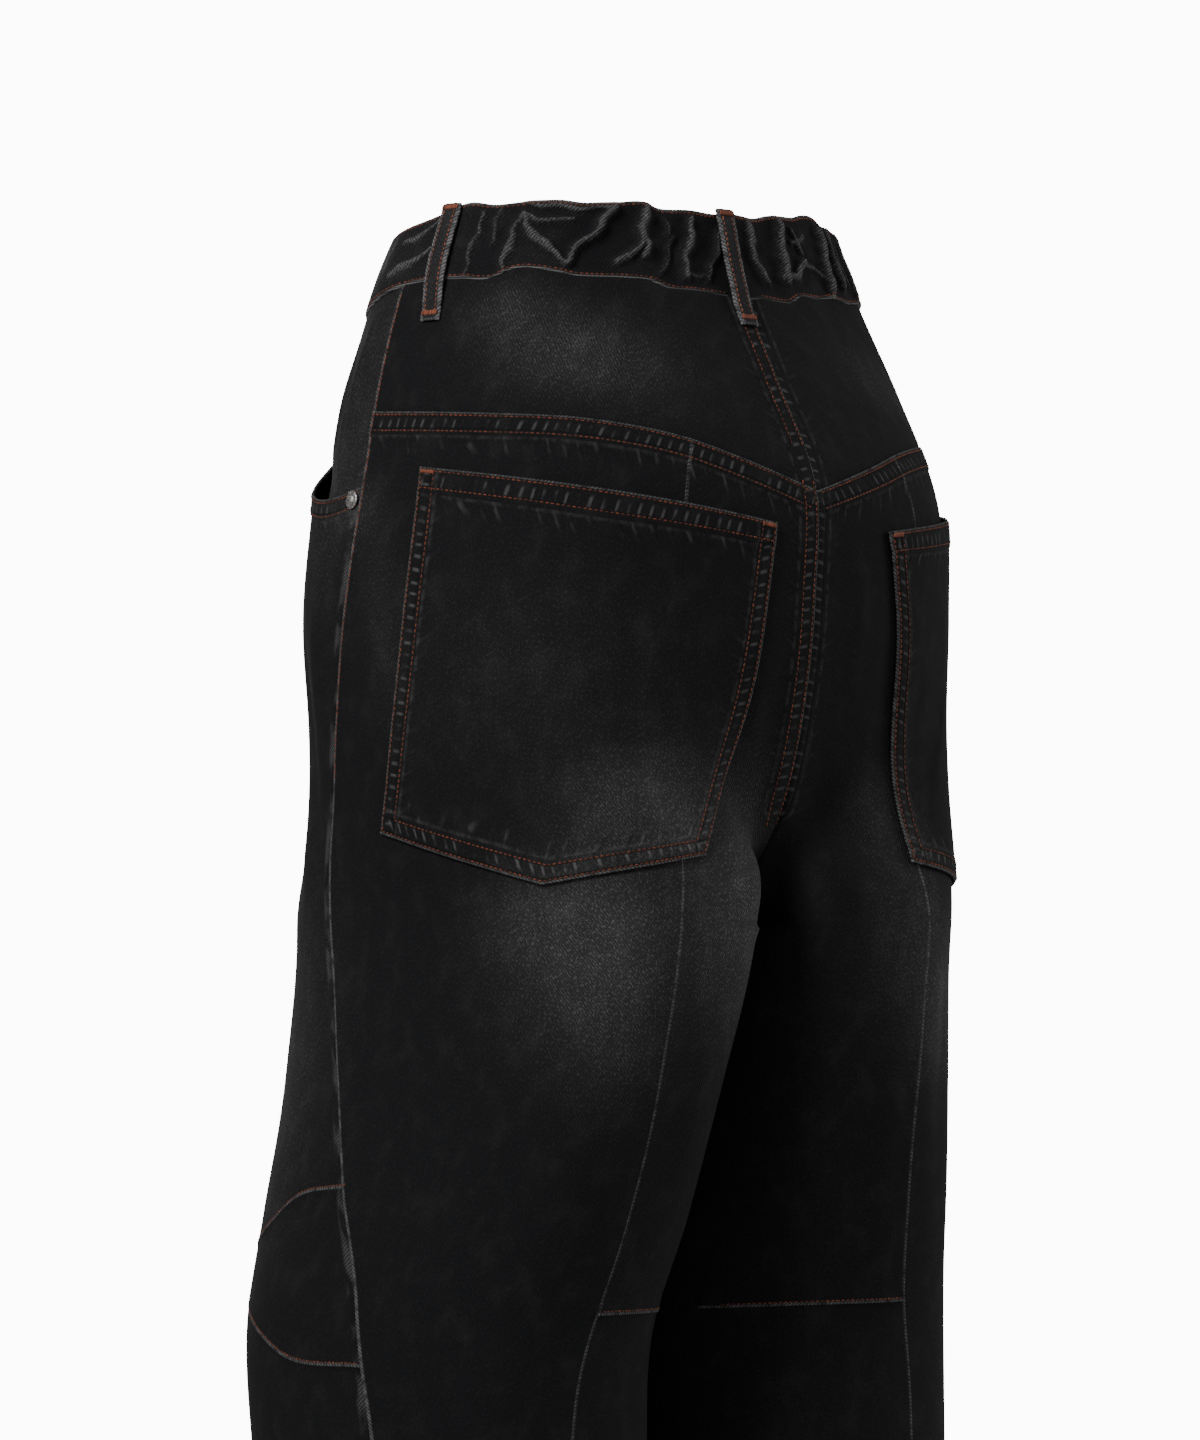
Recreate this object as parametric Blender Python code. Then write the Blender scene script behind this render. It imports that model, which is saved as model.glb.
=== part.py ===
"""Wide leg jeans with an elastic back waist, worn shape, as separate cut pieces.

Frame: metres, +Z up, the garment's front faces -Y and the wearer's left is +X.
The origin is the middle of the waist, at the height of the back waistband's top.

One half of the jeans is a smooth surface. A place on it is given by its height z
and by a, the distance round the cloth from the side line: negative towards the
front, positive towards the back. Above the fork a runs from the centre front to
the centre back, and below it once round the leg, from inseam to inseam. Each cut
piece is a wall between two rows and two columns of that surface.
"""
import math

import bmesh
import bpy
import numpy as np
from mathutils import Matrix, Vector

MM = 0.001

# ---- driving dimensions -------------------------------------------------------
LENGTH = 1015 * MM           # waist to hem
FORK = -349 * MM             # height where the two legs part
HIP = -129 * MM              # height where the trunk begins to part into legs
BACK_CROTCH_ROUND = 3.0      # how square the crotch curve is behind
FRONT_CROTCH_ROUND = 2.0     # and in front
BACK_PARTING = 2.0           # how late, going up, the two legs run together behind
FRONT_PARTING = 3.0          # and in front
PARTING_FOCUS = 5            # how closely the crotch curve keeps to the centre
HALF_GAP = 0.2 * MM          # half the space between the left and the right half
WALL = 1.3 * MM              # denim
SEAM = 0.2 * MM              # each piece stops this far from its seam line
LAY = 0.6 * MM               # space under what is sewn onto a panel
POCKET_LAY = 1.0 * MM        # and under a back pocket, which spans a hollow
SHIELD_GAP = 0.9 * MM        # space between the fronts and the fly shield
STEP = 0.8 * MM              # width of the step at the edge of a raised seam
FELL = 12 * MM               # width of a flat-felled seam
FELL_RISE = 0.7 * MM         # how far its extra layers stand up
HEM = 28 * MM                # depth of the turned hem
HEM_RISE = 0.7 * MM
FRONT_ROUND = 2.0            # how square the trunk is in front, 2 is an ellipse
BACK_ROUND = 2.35            # and behind
LEG_ROUND = 2.2

# Sections of one half, in mm: inner and outer x, front and back y, the y of the
# side line and of the inseam, and how square the leg's inner back corner is.
SECTIONS = (
    ("level", "inner", "outer", "front", "back", "side_y", "inseam_y", "corner"),
    (15, 0, 116, -66, 92, 10, 0, 2.20),
    (0, 0, 121, -70, 95, 10, 0, 2.20),
    (-30, 0, 135, -77, 102, 10, 0, 2.20),
    (-80, 0, 152, -86, 127, 10, 0, 2.30),
    (-135, 0, 162, -98, 155, 10, 0, 2.60),
    (-190, 0, 167, -110, 156, 10, 5, 3.20),
    (-250, 0, 163, -112, 154, 10, 10, 3.60),
    (-305, 0, 155, -113, 153, 11, 13, 3.80),
    (-349, 0, 150, -112, 150, 12, 15, 3.50),
    (-420, 3, 156, -112, 139, 10, 12, 2.70),
    (-490, 5, 173, -112, 123, 4, 8, 2.25),
    (-540, 5, 186, -108, 110, -2, 2, 1.85),
    (-610, 7, 190, -96, 106, 0, 2, 1.85),
    (-790, 10, 190, -86, 103, 3, 4, 2.05),
    (-1015, 13, 188, -82, 98, 5, 5, 2.15),
)

# Seam lines that run down the leg, in mm round the cloth from the side line.
SEAMS = (
    ("level", "side", "back_panel"),
    (0, 0, 168),
    (-143, -2, 174),
    (-193, -9, 175),
    (-240, -20, 175),
    (-277, -31, 174),
    (-316, -42, 171),
    (-350, -45, 166),
    (-409, -32, 161),
    (-474, -3, 160),
    (-526, 28, 156),
    (-574, 41, 147),
    (-620, 46, 142),
    (-1015, 42, 135),
)

# The waistband's edges, by share of the way from side line to centre, in mm.
BAND_EDGES = (
    ("share", "top", "bottom"),
    (-1.0, -14, -54),
    (-0.6, -13, -53),
    (-0.2, -9, -47),
    (0.0, -5, -40),
    (0.15, -1, -36),
    (0.4, 0, -35),
    (0.6, 0, -37),
    (0.8, 0, -40),
    (1.0, 0, -43),
)

# The yoke seam, from the side line to the centre back, in mm.
YOKE_SEAM = (
    ("round", "level"),
    (-5, -100),
    (70, -105),
    (119, -108),
    (164, -115),
    (205, -126),
    (250, -139),
)

# Puckers of the elastic back waist: mm left of the centre back, half width and
# depth in mm, and how far the pucker leans over its height.
GATHERS = (
    ("from_centre", "width", "depth", "lean"),
    (171, 8, 1.6, 0.10),
    (146, 8, 2.4, -0.20),
    (125, 8, 3.0, 0.25),
    (104, 8, 2.6, -0.30),
    (84, 8, 3.2, 0.20),
    (64, 9, 2.8, -0.25),
    (43, 8, 3.0, 0.30),
    (22, 7, 2.0, -0.10),
    (-21, 7, 2.4, 0.15),
    (-41, 8, 3.0, -0.25),
    (-61, 9, 2.8, 0.20),
    (-82, 8, 3.2, -0.15),
    (-103, 8, 2.6, 0.30),
    (-125, 8, 3.0, -0.20),
    (-147, 8, 2.4, 0.15),
    (-170, 8, 1.6, -0.10),
)

# Back patch pockets, in mm: round the cloth and height of each corner, the point
# of the bottom edge, and how far the sides bow towards the centre.
POCKETS = (
    ("piece", "side", "out_a", "out_z", "in_a", "in_z", "low_in_a", "low_in_z",
     "tip_a", "tip_z", "low_out_a", "low_out_z", "bow"),
    ("pocket_back_left", 1, 39, -130, 225, -156, 184, -316, 99, -330, 5, -304, 9),
    ("pocket_back_right", -1, 21, -131, 203, -156, 176, -317, 90, -331, -3, -305, -4),
)
POCKET_HEM = 13 * MM         # turned top edge of a back pocket
POCKET_GAPE = 2.2 * MM       # how far its top stands off the seat

# Belt loops: round the cloth at the top and at the bottom end, in mm.
LOOPS = (
    ("piece", "side", "top_a", "low_a"),
    ("belt_loop_back_left", 1, 18, 27),
    ("belt_loop_back_right", -1, 18, 27),
    ("belt_loop_front_left", 1, -106, -132),
    ("belt_loop_front_right", -1, -106, -132),
)
CENTRE_LOOP_X = 5.6 * MM     # the loop behind sits on the felled seam, left of the centre
LOOP_WIDTH = 11 * MM
LOOP_THICK = 1.6 * MM
# Down a loop: distance below the band's top, and how far it stands off the body.
LOOP_COURSE = (
    ("down", "off"),
    (0.6, 2.6), (9, 2.8), (20, 3.1), (32, 3.1), (40, 2.6), (46, 1.4), (51, 0.7),
    (54.5, 0.5), (58, 0.5),
)

BAND_RISE = 1.2 * MM         # waistband's outer face over the body's surface
BAND_THICK = 3.0 * MM        # two layers of denim round the elastic

MOUTH_END = -108 * MM        # front end of the hand pocket's mouth, at the band
MOUTH_LOW = -141 * MM        # its height at the side seam
MOUTH_ROUND = 2.6
MOUTH_HEM = 10 * MM
MOUTH_LIFT = 1.6 * MM        # how far the mouth stands proud

# Knee darts: round the cloth from their seam, and height, in mm.
DART_UPPER = (("along", "level"), (0, -474), (42, -481), (62, -492), (110, -512))
DART_LOWER = (("along", "level"), (0, -558), (49, -556), (79, -546), (120, -532))
DART_BACK = (("along", "level"), (0, -533), (60, -534), (110, -536))
DART_RISE = 1.0 * MM
DART_LIP = 9 * MM            # the fold fades out this far above the dart

RIVET_RADIUS = 4.5 * MM
RIVET_SEAT = 0.45 * MM       # height of a rivet's back over the cloth
BUTTON_RADIUS = 8.5 * MM

# Colours as linear RGB, roughness and metallic.
DENIM = ((0.012, 0.012, 0.014), 0.92, 0.0)
NICKEL = ((0.55, 0.54, 0.51), 0.35, 1.0)


def column(table, name):
    return np.array([row[table[0].index(name)] for row in table[1:]], float)


def eased(places, values, at):
    """Smooth curve through a table's values, with the slope of its neighbours."""
    order = np.argsort(places)
    x = np.asarray(places, float)[order]
    y = np.asarray(values, float)[order]
    h = np.diff(x)
    d = np.diff(y) / h
    slope = np.empty_like(y)
    slope[1:-1] = (d[:-1] * h[1:] + d[1:] * h[:-1]) / (h[1:] + h[:-1])
    slope[0] = d[0]
    slope[-1] = d[-1]
    at = np.clip(at, x[0], x[-1])
    i = np.clip(np.searchsorted(x, at) - 1, 0, len(h) - 1)
    t = (at - x[i]) / h[i]
    return ((2 * t**3 - 3 * t**2 + 1) * y[i] + (t**3 - 2 * t**2 + t) * h[i] * slope[i]
            + (3 * t**2 - 2 * t**3) * y[i + 1] + (t**3 - t**2) * h[i] * slope[i + 1])


def table_curve(table, key, name, scale=MM):
    """Function of the key column, given and returned in metres unless scale says."""
    places = column(table, key) * scale
    values = column(table, name) * MM
    return lambda at: eased(places, values, at)


def ramp(low, high, at):
    t = np.clip((at - low) / (high - low), 0, 1)
    return t * t * (3 - 2 * t)


# ---- the surface of one half --------------------------------------------------
def power(value, n):
    return np.sign(value) * np.abs(value) ** (2 / n)


def section(z, turn):
    """x and y of one half at height z; turn runs 0 to 1 from front to back."""
    level = column(SECTIONS, "level") * MM
    inner, outer, front, back, side_y, inseam_y = [
        eased(level, column(SECTIONS, name) * MM, z) for name in SECTIONS[0][1:7]]
    corner = eased(level, column(SECTIONS, "corner"), z)

    angle = np.radians(180 * turn - 90)
    trunk_n = np.where(turn > 0.5, BACK_ROUND, FRONT_ROUND)
    s = power(np.sin(angle), trunk_n)
    trunk_x = outer * power(np.cos(angle), trunk_n)
    trunk_y = side_y + np.where(s > 0, (back - side_y) * s, (side_y - front) * s)

    angle = np.radians(360 * turn - 180)
    leg_n = np.where(turn > 0.75, corner, LEG_ROUND)
    c = power(np.cos(angle), leg_n)
    s = power(np.sin(angle), leg_n)
    leg_x = (inner + outer) / 2 + (outer - inner) / 2 * c
    middle = side_y + (inseam_y - side_y) * (1 - c) / 2
    leg_y = middle + np.where(s > 0, (back - middle) * s, (middle - front) * s)

    up = np.clip((z - FORK) / (HIP - FORK), 0, 1)
    in_front = turn < 0.5
    crotch = np.where(in_front, FRONT_CROTCH_ROUND, BACK_CROTCH_ROUND)
    at_centre = 1 - (1 - (1 - up) ** crotch) ** (1 / crotch)
    at_side = ramp(0, 1, (1 - up) ** np.where(in_front, FRONT_PARTING, BACK_PARTING))
    near_centre = np.abs(2 * turn - 1) ** PARTING_FOCUS
    leg = at_centre * near_centre + at_side * (1 - near_centre)
    leg = np.where(z <= FORK, 1.0, leg)
    x = HALF_GAP + (1 - leg) * trunk_x + leg * leg_x
    y = (1 - leg) * trunk_y + leg * leg_y
    return x, y


FINE = 2.5 * MM              # spacing of the sampled levels
STATIONS = 201               # samples from the side line to each end
TURNS = 1601                 # samples of each section before it is spaced evenly


def sample_levels():
    """Heights of the sampled sections, closer together towards the fork."""
    above = np.arange(12 * MM, HIP, -FINE)
    parting = HIP + (FORK - HIP) * (1 - np.linspace(1, 0, 140) ** 3)
    below = np.arange(FORK - FINE, -LENGTH - 3 * FINE, -FINE)
    return np.concatenate([above, parting, below])


LEVELS = sample_levels()


def sample_surface():
    turn = np.linspace(0, 1, TURNS)
    middle = TURNS // 2
    turns, heights = np.meshgrid(turn, LEVELS)
    x, y = section(heights, turns)
    steps = np.hypot(np.diff(x, axis=1), np.diff(y, axis=1))
    arc = np.concatenate([np.zeros((len(LEVELS), 1)), np.cumsum(steps, axis=1)], axis=1)
    arc -= arc[:, middle:middle + 1]
    share = np.linspace(0, 1, STATIONS)
    points = np.empty((len(LEVELS), 2 * STATIONS - 1, 3))
    for k, level in enumerate(LEVELS):
        at = np.concatenate([share[::-1][:-1] * arc[k, 0], share * arc[k, -1]])
        points[k, :, 0] = np.interp(at, arc[k], x[k])
        points[k, :, 1] = np.interp(at, arc[k], y[k])
        points[k, :, 2] = level
    across = np.gradient(points, axis=1)
    upward = -np.gradient(points, axis=0)
    normals = np.cross(across, upward)
    normals /= np.linalg.norm(normals, axis=2, keepdims=True)
    return points, normals, -arc[:, 0], arc[:, -1]


POINTS, NORMALS, FRONT_REACH, BACK_REACH = sample_surface()


def front_reach(z):
    return np.interp(-z, -LEVELS, FRONT_REACH)


def back_reach(z):
    return np.interp(-z, -LEVELS, BACK_REACH)


def read(samples, share, z):
    """Value of a sampled array at a share of the reach, -1 front to 1 back."""
    k = np.clip(np.searchsorted(-LEVELS, -z) - 1, 0, len(LEVELS) - 2)
    t = np.clip((LEVELS[k] - z) / (LEVELS[k] - LEVELS[k + 1]), 0, 1)[..., None]
    place = (np.clip(share, -1, 1) + 1) * (STATIONS - 1)
    i = np.clip(place.astype(int), 0, 2 * STATIONS - 3)
    s = (place - i)[..., None]
    upper = samples[k, i] * (1 - s) + samples[k, i + 1] * s
    lower = samples[k + 1, i] * (1 - s) + samples[k + 1, i + 1] * s
    return upper * (1 - t) + lower * t


def share_of(a, z):
    return np.where(a < 0, a / front_reach(z), a / back_reach(z))


def cloth(a, z, lift, side):
    """Points at distance a and height z, moved out by lift along the normal."""
    a, z, lift = np.broadcast_arrays(np.asarray(a, float), z, lift)
    share = share_of(a, z)
    normal = read(NORMALS, share, z)
    normal = normal / np.linalg.norm(normal, axis=-1, keepdims=True)
    point = read(POINTS, share, z) + normal * lift[..., None]
    return point * (side, 1, 1)


def centre_cloth(x, z, lift, end):
    """Points near the centre back (end 1) or front (-1), x across the middle."""
    x, z, lift = np.broadcast_arrays(np.asarray(x, float), z, lift)
    reach = back_reach(z) if end > 0 else -front_reach(z)
    side = np.where(x < 0, -1.0, 1.0)
    point = cloth(reach - end * np.abs(x), z, lift, 1)
    point[..., 0] = side * (point[..., 0] - HALF_GAP)
    return point


# ---- seam lines ---------------------------------------------------------------
side_seam = table_curve(SEAMS, "level", "side")
back_seam = table_curve(SEAMS, "level", "back_panel")
yoke_seam = table_curve(YOKE_SEAM, "round", "level")
band_top = table_curve(BAND_EDGES, "share", "top", 1)
band_bottom = table_curve(BAND_EDGES, "share", "bottom", 1)
dart_upper = table_curve(DART_UPPER, "along", "level")
dart_lower = table_curve(DART_LOWER, "along", "level")
dart_back = table_curve(DART_BACK, "along", "level")

BAND_LEVEL = -45 * MM        # height at which shares of the band's edge are read


def under_band(a):
    return band_bottom(share_of(a, BAND_LEVEL)) - LAY


def mouth(a):
    """Height of the hand pocket's mouth between its front end and the side."""
    along = np.clip((a - MOUTH_END) / (side_seam(MOUTH_LOW) - MOUTH_END), 0, 1)
    drop = (1 - (1 - along) ** MOUTH_ROUND) ** (1 / MOUTH_ROUND)
    return under_band(a) + (MOUTH_LOW - under_band(a)) * drop


def front_top(a):
    return np.where(a > MOUTH_END, mouth(a), under_band(a))


# ---- solids -------------------------------------------------------------------
def material(name, finish):
    colour, roughness, metallic = finish
    made = bpy.data.materials.new(name)
    made.use_nodes = True
    shader = made.node_tree.nodes["Principled BSDF"]
    shader.inputs["Base Color"].default_value = (*colour, 1)
    shader.inputs["Roughness"].default_value = roughness
    shader.inputs["Metallic"].default_value = metallic
    return made


def add_object(name, vertices, faces, finish, smooth_angle=40):
    """One closed body with its faces pointing out."""
    mesh = bpy.data.meshes.new(name)
    mesh.from_pydata([tuple(v) for v in vertices], [], faces)
    shape = bmesh.new()
    shape.from_mesh(mesh)
    bmesh.ops.recalc_face_normals(shape, faces=shape.faces)
    shape.to_mesh(mesh)
    shape.free()
    mesh.shade_smooth()
    mesh.set_sharp_from_angle(angle=math.radians(smooth_angle))
    made = bpy.data.objects.new(name, mesh)
    made.data.materials.append(material(name + "_finish", finish))
    bpy.context.scene.collection.objects.link(made)
    return made


def fuller_split(corners, outward):
    """Two triangles of a square cell, cut along its outer diagonal."""
    first, second, third, fourth = corners
    one = (first[1] + third[1]) / 2
    other = (second[1] + fourth[1]) / 2
    if np.dot(one - other, outward) > 0:
        cut = ((first, second, third), (first, third, fourth))
    else:
        cut = ((first, second, fourth), (second, third, fourth))
    return [tuple(corner[0] for corner in triangle) for triangle in cut]


def wall(name, outside, inside, finish=DENIM):
    """Closed wall between two grids of points, rows by columns."""
    rows, columns = outside.shape[:2]
    count = rows * columns
    vertices = np.concatenate([outside.reshape(-1, 3), inside.reshape(-1, 3)])
    faces = []
    for j in range(rows - 1):
        for i in range(columns - 1):
            k = j * columns + i
            ring = (k, k + 1, k + columns + 1, k + columns)
            outward = vertices[k] - vertices[k + count]
            for layer in (0, count):
                corners = [(v + layer, vertices[v + layer]) for v in ring]
                faces += fuller_split(corners, outward)
    rim = [i for i in range(columns)]
    rim += [j * columns + columns - 1 for j in range(1, rows)]
    rim += [(rows - 1) * columns + i for i in range(columns - 2, -1, -1)]
    rim += [j * columns for j in range(rows - 2, 0, -1)]
    for k, v in enumerate(rim):
        w = rim[(k + 1) % len(rim)]
        faces.append((w, v, v + count, w + count))
    return add_object(name, vertices, faces, finish)


def grid(rows, columns):
    """a and z where each row, a function of a, meets each column, one of z."""
    a = np.empty((len(rows), len(columns)))
    z = np.empty_like(a)
    for j, row in enumerate(rows):
        for i, col in enumerate(columns):
            height = -300 * MM
            for _ in range(8):
                place = col(height)
                height = row(place)
            a[j, i] = place
            z[j, i] = height
    return a, z


def between(left, right, share):
    return lambda z: left(z) + (right(z) - left(z)) * share


def level_row(z):
    return lambda a: z


def shifted(row, by):
    return lambda a: row(a) + by


def toward(row, level, share):
    return lambda a: row(a) + (level - row(a)) * share


# Heights of the plain rows, in mm, and where the rows under the tops even out.
ANCHOR = -220 * MM
CROTCH_ROWS = (-238, -256, -275, -294, -312, -330, -342, -347.6, -349, -365, -390, -420, -450)
SHIN_ROWS = (-590, -635, -700, -770, -840, -910)


def top_rows(top, hem):
    """A raised strip along the top edge, then rows that even out."""
    rows = [top, shifted(top, -hem), shifted(top, -hem - STEP)]
    rows += [toward(rows[2], ANCHOR, share) for share in (0.33, 0.67, 1)]
    return rows


def low_rows():
    rows = [level_row(level * MM) for level in SHIN_ROWS]
    rows += [level_row(-LENGTH + HEM + STEP), level_row(-LENGTH + HEM), level_row(-LENGTH)]
    return rows


def dart_rows(dart):
    return [shifted(dart, DART_LIP), dart, shifted(dart, -STEP)]


def dart_rise(z, dart, along, length):
    """Fold over a dart: full at its seam, nothing at its point."""
    over = (z - dart) / DART_LIP
    fold = np.where((over > -0.01) & (over < 1), 1 - over, 0)
    return DART_RISE * fold * np.sqrt(np.clip(1 - along / length, 0, 1))


def hem_rise(z):
    return np.where(z < -LENGTH + HEM + STEP / 2, HEM_RISE, 0)


def in_strip(distance, width):
    return (distance < width + STEP / 2) & (distance > -STEP)


def mouth_form(a, z):
    """How far the cloth by the pocket mouth stands out, and its hem on top."""
    along = np.clip((a - MOUTH_END) / -MOUTH_END, 0, 1)
    below = front_top(a) - z
    lift = MOUTH_LIFT * np.sin(math.pi * along) ** 0.7 * np.exp(-below / (45 * MM))
    rise = np.where(in_strip(below, MOUTH_HEM) & (a > MOUTH_END), FELL_RISE, 0)
    return lift, rise


def front_panel(name, side):
    left = lambda z: -front_reach(z) + SEAM
    right = lambda z: side_seam(z) - SEAM
    shares = (0, 0.09, 0.18, 0.27, 0.36, 0.435, 0.475, 0.54, 0.63, 0.72, 0.81, 0.91, 1)
    columns = [between(left, right, share) for share in shares]
    up = lambda a: dart_upper(side_seam(DART_UPPER[1][1] * MM) - a)
    low = lambda a: dart_lower(side_seam(DART_LOWER[1][1] * MM) - a)
    rows = top_rows(front_top, MOUTH_HEM)
    rows += [level_row(level * MM) for level in CROTCH_ROWS]
    rows += dart_rows(up) + [toward(up, -545 * MM, 0.4)] + dart_rows(low) + low_rows()
    a, z = grid(rows, columns)

    lift, rise = mouth_form(a, z)
    rise = rise + hem_rise(z)
    rise = rise + dart_rise(z, up(a), side_seam(z) - a, 110 * MM)
    rise = rise + dart_rise(z, low(a), side_seam(z) - a, 120 * MM)
    inside = cloth(a, z, lift - WALL - hem_rise(z), side)
    return wall(name, cloth(a, z, lift + rise, side), inside)


OUTER_SHARES = (0, 0.16, 0.31, 0.45, 0.58, 0.69, 0.79, 0.87, 0.94, 1)
INNER_SHARES = (0, 0.13, 0.26, 0.4, 0.54, 0.68, 0.82)


def back_top(a):
    return yoke_seam(a) - SEAM


def back_outer(name, side):
    left = lambda z: side_seam(z) + SEAM
    right = lambda z: back_seam(z) - SEAM
    columns = [between(left, right, share) for share in OUTER_SHARES]
    knee = (-465, -474, -515, -549, -558)
    rows = top_rows(back_top, FELL)
    rows += [level_row(level * MM) for level in CROTCH_ROWS + knee] + low_rows()
    a, z = grid(rows, columns)
    rise = np.where(in_strip(back_top(a) - z, FELL), FELL_RISE, 0) + hem_rise(z)
    inside = cloth(a, z, -WALL - hem_rise(z), side)
    return wall(name, cloth(a, z, rise, side), inside)


def centre_columns(left):
    """Columns from a seam to the centre, the last two along the felled seam."""
    right = lambda z: back_reach(z) - SEAM
    felled = lambda z: back_reach(z) - FELL - STEP
    columns = [between(left, felled, share) for share in INNER_SHARES]
    return columns + [felled, lambda z: back_reach(z) - FELL, right]


def centre_rise(a, z, side):
    """The felled centre back seam lies on the left half and ends at the fork."""
    if side < 0:
        return np.zeros_like(a)
    on_seam = in_strip(back_reach(z) - a, FELL)
    return np.where(on_seam, FELL_RISE, 0) * ramp(-300 * MM, -270 * MM, z)


def back_inner(name, side):
    left = lambda z: back_seam(z) + SEAM
    crease = lambda a: dart_back(a - back_seam(DART_BACK[1][1] * MM))
    rows = top_rows(back_top, FELL)
    rows += [level_row(level * MM) for level in CROTCH_ROWS + (-490,)]
    rows += dart_rows(crease) + low_rows()
    a, z = grid(rows, centre_columns(left))
    rise = np.where(in_strip(back_top(a) - z, FELL), FELL_RISE, 0)
    rise = np.maximum(rise, centre_rise(a, z, side)) + hem_rise(z)
    rise = rise + dart_rise(z, crease(a), a - back_seam(z), 110 * MM)
    inside = cloth(a, z, -WALL - hem_rise(z), side)
    return wall(name, cloth(a, z, rise, side), inside)


def yoke(name, side):
    bottom = lambda a: yoke_seam(a) + SEAM
    outer = [between(lambda z: side_seam(z) + SEAM, lambda z: back_seam(z) - SEAM, share)
             for share in OUTER_SHARES]
    columns = outer[:-1] + centre_columns(back_seam)
    foot_a, foot_z = grid([bottom], columns)
    reach = back_reach(foot_z[0]) - SEAM
    share = foot_a[0] / reach
    rows = (0, 0.25, 0.5, 0.75, 1)
    a = np.empty((len(rows), len(columns)))
    z = np.empty_like(a)
    for j, down in enumerate(rows):
        place = foot_a[0]
        for _ in range(4):
            top = under_band(place)
            z[j] = top + (foot_z[0] - top) * down
            place = share * (back_reach(z[j]) - SEAM)
        a[j] = place
    felled = np.arange(len(columns)) >= len(columns) - 2
    rise = np.where(felled & (side > 0), FELL_RISE, 0) + np.zeros_like(a)
    return wall(name, cloth(a, z, rise, side), cloth(a, z, -WALL, side))


# ---- waistband ----------------------------------------------------------------
def pucker(from_centre, height):
    """How far the gathered band stands out, flatter where a loop is sewn on."""
    out = np.zeros_like(from_centre)
    middle = -20 * MM
    for place, width, depth, lean in GATHERS[1:]:
        across = (from_centre - place * MM - lean * (height - middle)) / (width * MM)
        out = out + depth * MM * np.exp(-across**2)
    out = out - 1.0 * MM
    for sewn in (0, 158, -158):
        out = out * (1 - np.exp(-((from_centre - sewn * MM) / (11 * MM)) ** 2))
    return out * ramp(185 * MM, 170 * MM, np.abs(from_centre))


def waistband_back():
    """One piece from side seam to side seam round the back."""
    steps = 76
    across = np.linspace(1, -1, steps + 1)
    down = np.array((0, 0.2, 0.5, 0.8, 1))[:, None]
    share = 1 - np.abs(across)[None, :]
    z = band_top(share) + (band_bottom(share) - band_top(share)) * down
    reach = back_reach(z) - SEAM
    from_centre = across[None, :] * reach
    out = BAND_RISE + pucker(from_centre, z)
    outside = centre_cloth(from_centre, z, out, 1)
    inside = centre_cloth(from_centre, z, out - BAND_THICK, 1)
    return wall("waistband_back", outside, inside)


def waistband_front(name, side):
    share = np.linspace(-1, 0, 9)[None, :]
    down = np.array((0, 0.5, 1))[:, None]
    z = band_top(share) + (band_bottom(share) - band_top(share)) * down
    a = share * (front_reach(z) - SEAM) - SEAM
    outside = cloth(a, z, BAND_RISE, side)
    inside = cloth(a, z, BAND_RISE - BAND_THICK, side)
    return wall(name, outside, inside)


# ---- pockets ------------------------------------------------------------------
def pocket_back(row):
    given = dict(zip(POCKETS[0], row))
    metres = {key: value * MM for key, value in given.items() if key not in ("piece", "side")}
    tip = (metres["tip_a"] - metres["low_out_a"]) / (metres["low_in_a"] - metres["low_out_a"])
    u = np.sort(np.append(np.linspace(0, 1, 15)[[0, 1, 2, 3, 4, 5, 6, 8, 9, 10, 11, 12, 13, 14]],
                          tip))[None, :]
    height = metres["out_z"] - metres["low_out_z"]
    v = np.array([0, POCKET_HEM / height, (POCKET_HEM + STEP) / height,
                  0.22, 0.36, 0.5, 0.64, 0.78, 0.9, 1])[:, None]
    top = metres["out_z"] + (metres["in_z"] - metres["out_z"]) * u
    low = np.interp(u, (0, tip, 1), (metres["low_out_z"], metres["tip_z"], metres["low_in_z"]))
    z = top + (low - top) * v
    left = metres["out_a"] + (metres["low_out_a"] - metres["out_a"]) * v
    right = metres["in_a"] + (metres["low_in_a"] - metres["in_a"]) * v
    a = left + (right - left) * u + metres["bow"] * 4 * v * (1 - v)
    gape = POCKET_GAPE * np.sin(math.pi * u) * np.exp(-v * height / (35 * MM))
    rise = np.where(in_strip(v * height, POCKET_HEM), 0.5 * MM, 0)
    side = given["side"]
    lay = POCKET_LAY + gape
    inside = cloth(a, z, lay, side)
    return wall(given["piece"], cloth(a, z, lay + WALL + rise, side), inside)


def pocket_facing(name, side):
    """Cloth behind the hand pocket's mouth, flush with the body where it shows."""
    under = 30 * MM
    top = under_band
    low = lambda a: mouth(np.maximum(a, MOUTH_END)) - under
    left = lambda z: MOUTH_END - 14 * MM + 0 * z
    right = lambda z: side_seam(z) - SEAM
    columns = [between(left, right, share) for share in np.linspace(0, 1, 9)]
    rows = [lambda a, t=t: top(a) + (low(a) - top(a)) * t for t in np.linspace(0, 1, 8)]
    a, z = grid(rows, columns)
    behind = -WALL - 0.7 * MM
    clear = ramp(4 * MM, 24 * MM, z - front_top(a)) * (a > MOUTH_END)
    lift = behind + (-0.3 * MM - behind) * clear
    return wall(name, cloth(a, z, lift, side), cloth(a, z, lift - WALL, side))


def fly_shield():
    """Straight strip behind the closed fly."""
    x = np.linspace(-18 * MM, 18 * MM, 5)[None, :]
    z = np.linspace(-57 * MM, -170 * MM, 8)[:, None]
    lift = -WALL - SHIELD_GAP
    outside = centre_cloth(x, z, lift, -1)
    return wall("fly_shield", outside, centre_cloth(x, z, lift - WALL, -1))


# ---- belt loops and metal -----------------------------------------------------
def loop_course():
    down = column(LOOP_COURSE, "down") * MM
    off = column(LOOP_COURSE, "off") * MM
    return down, off


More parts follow.
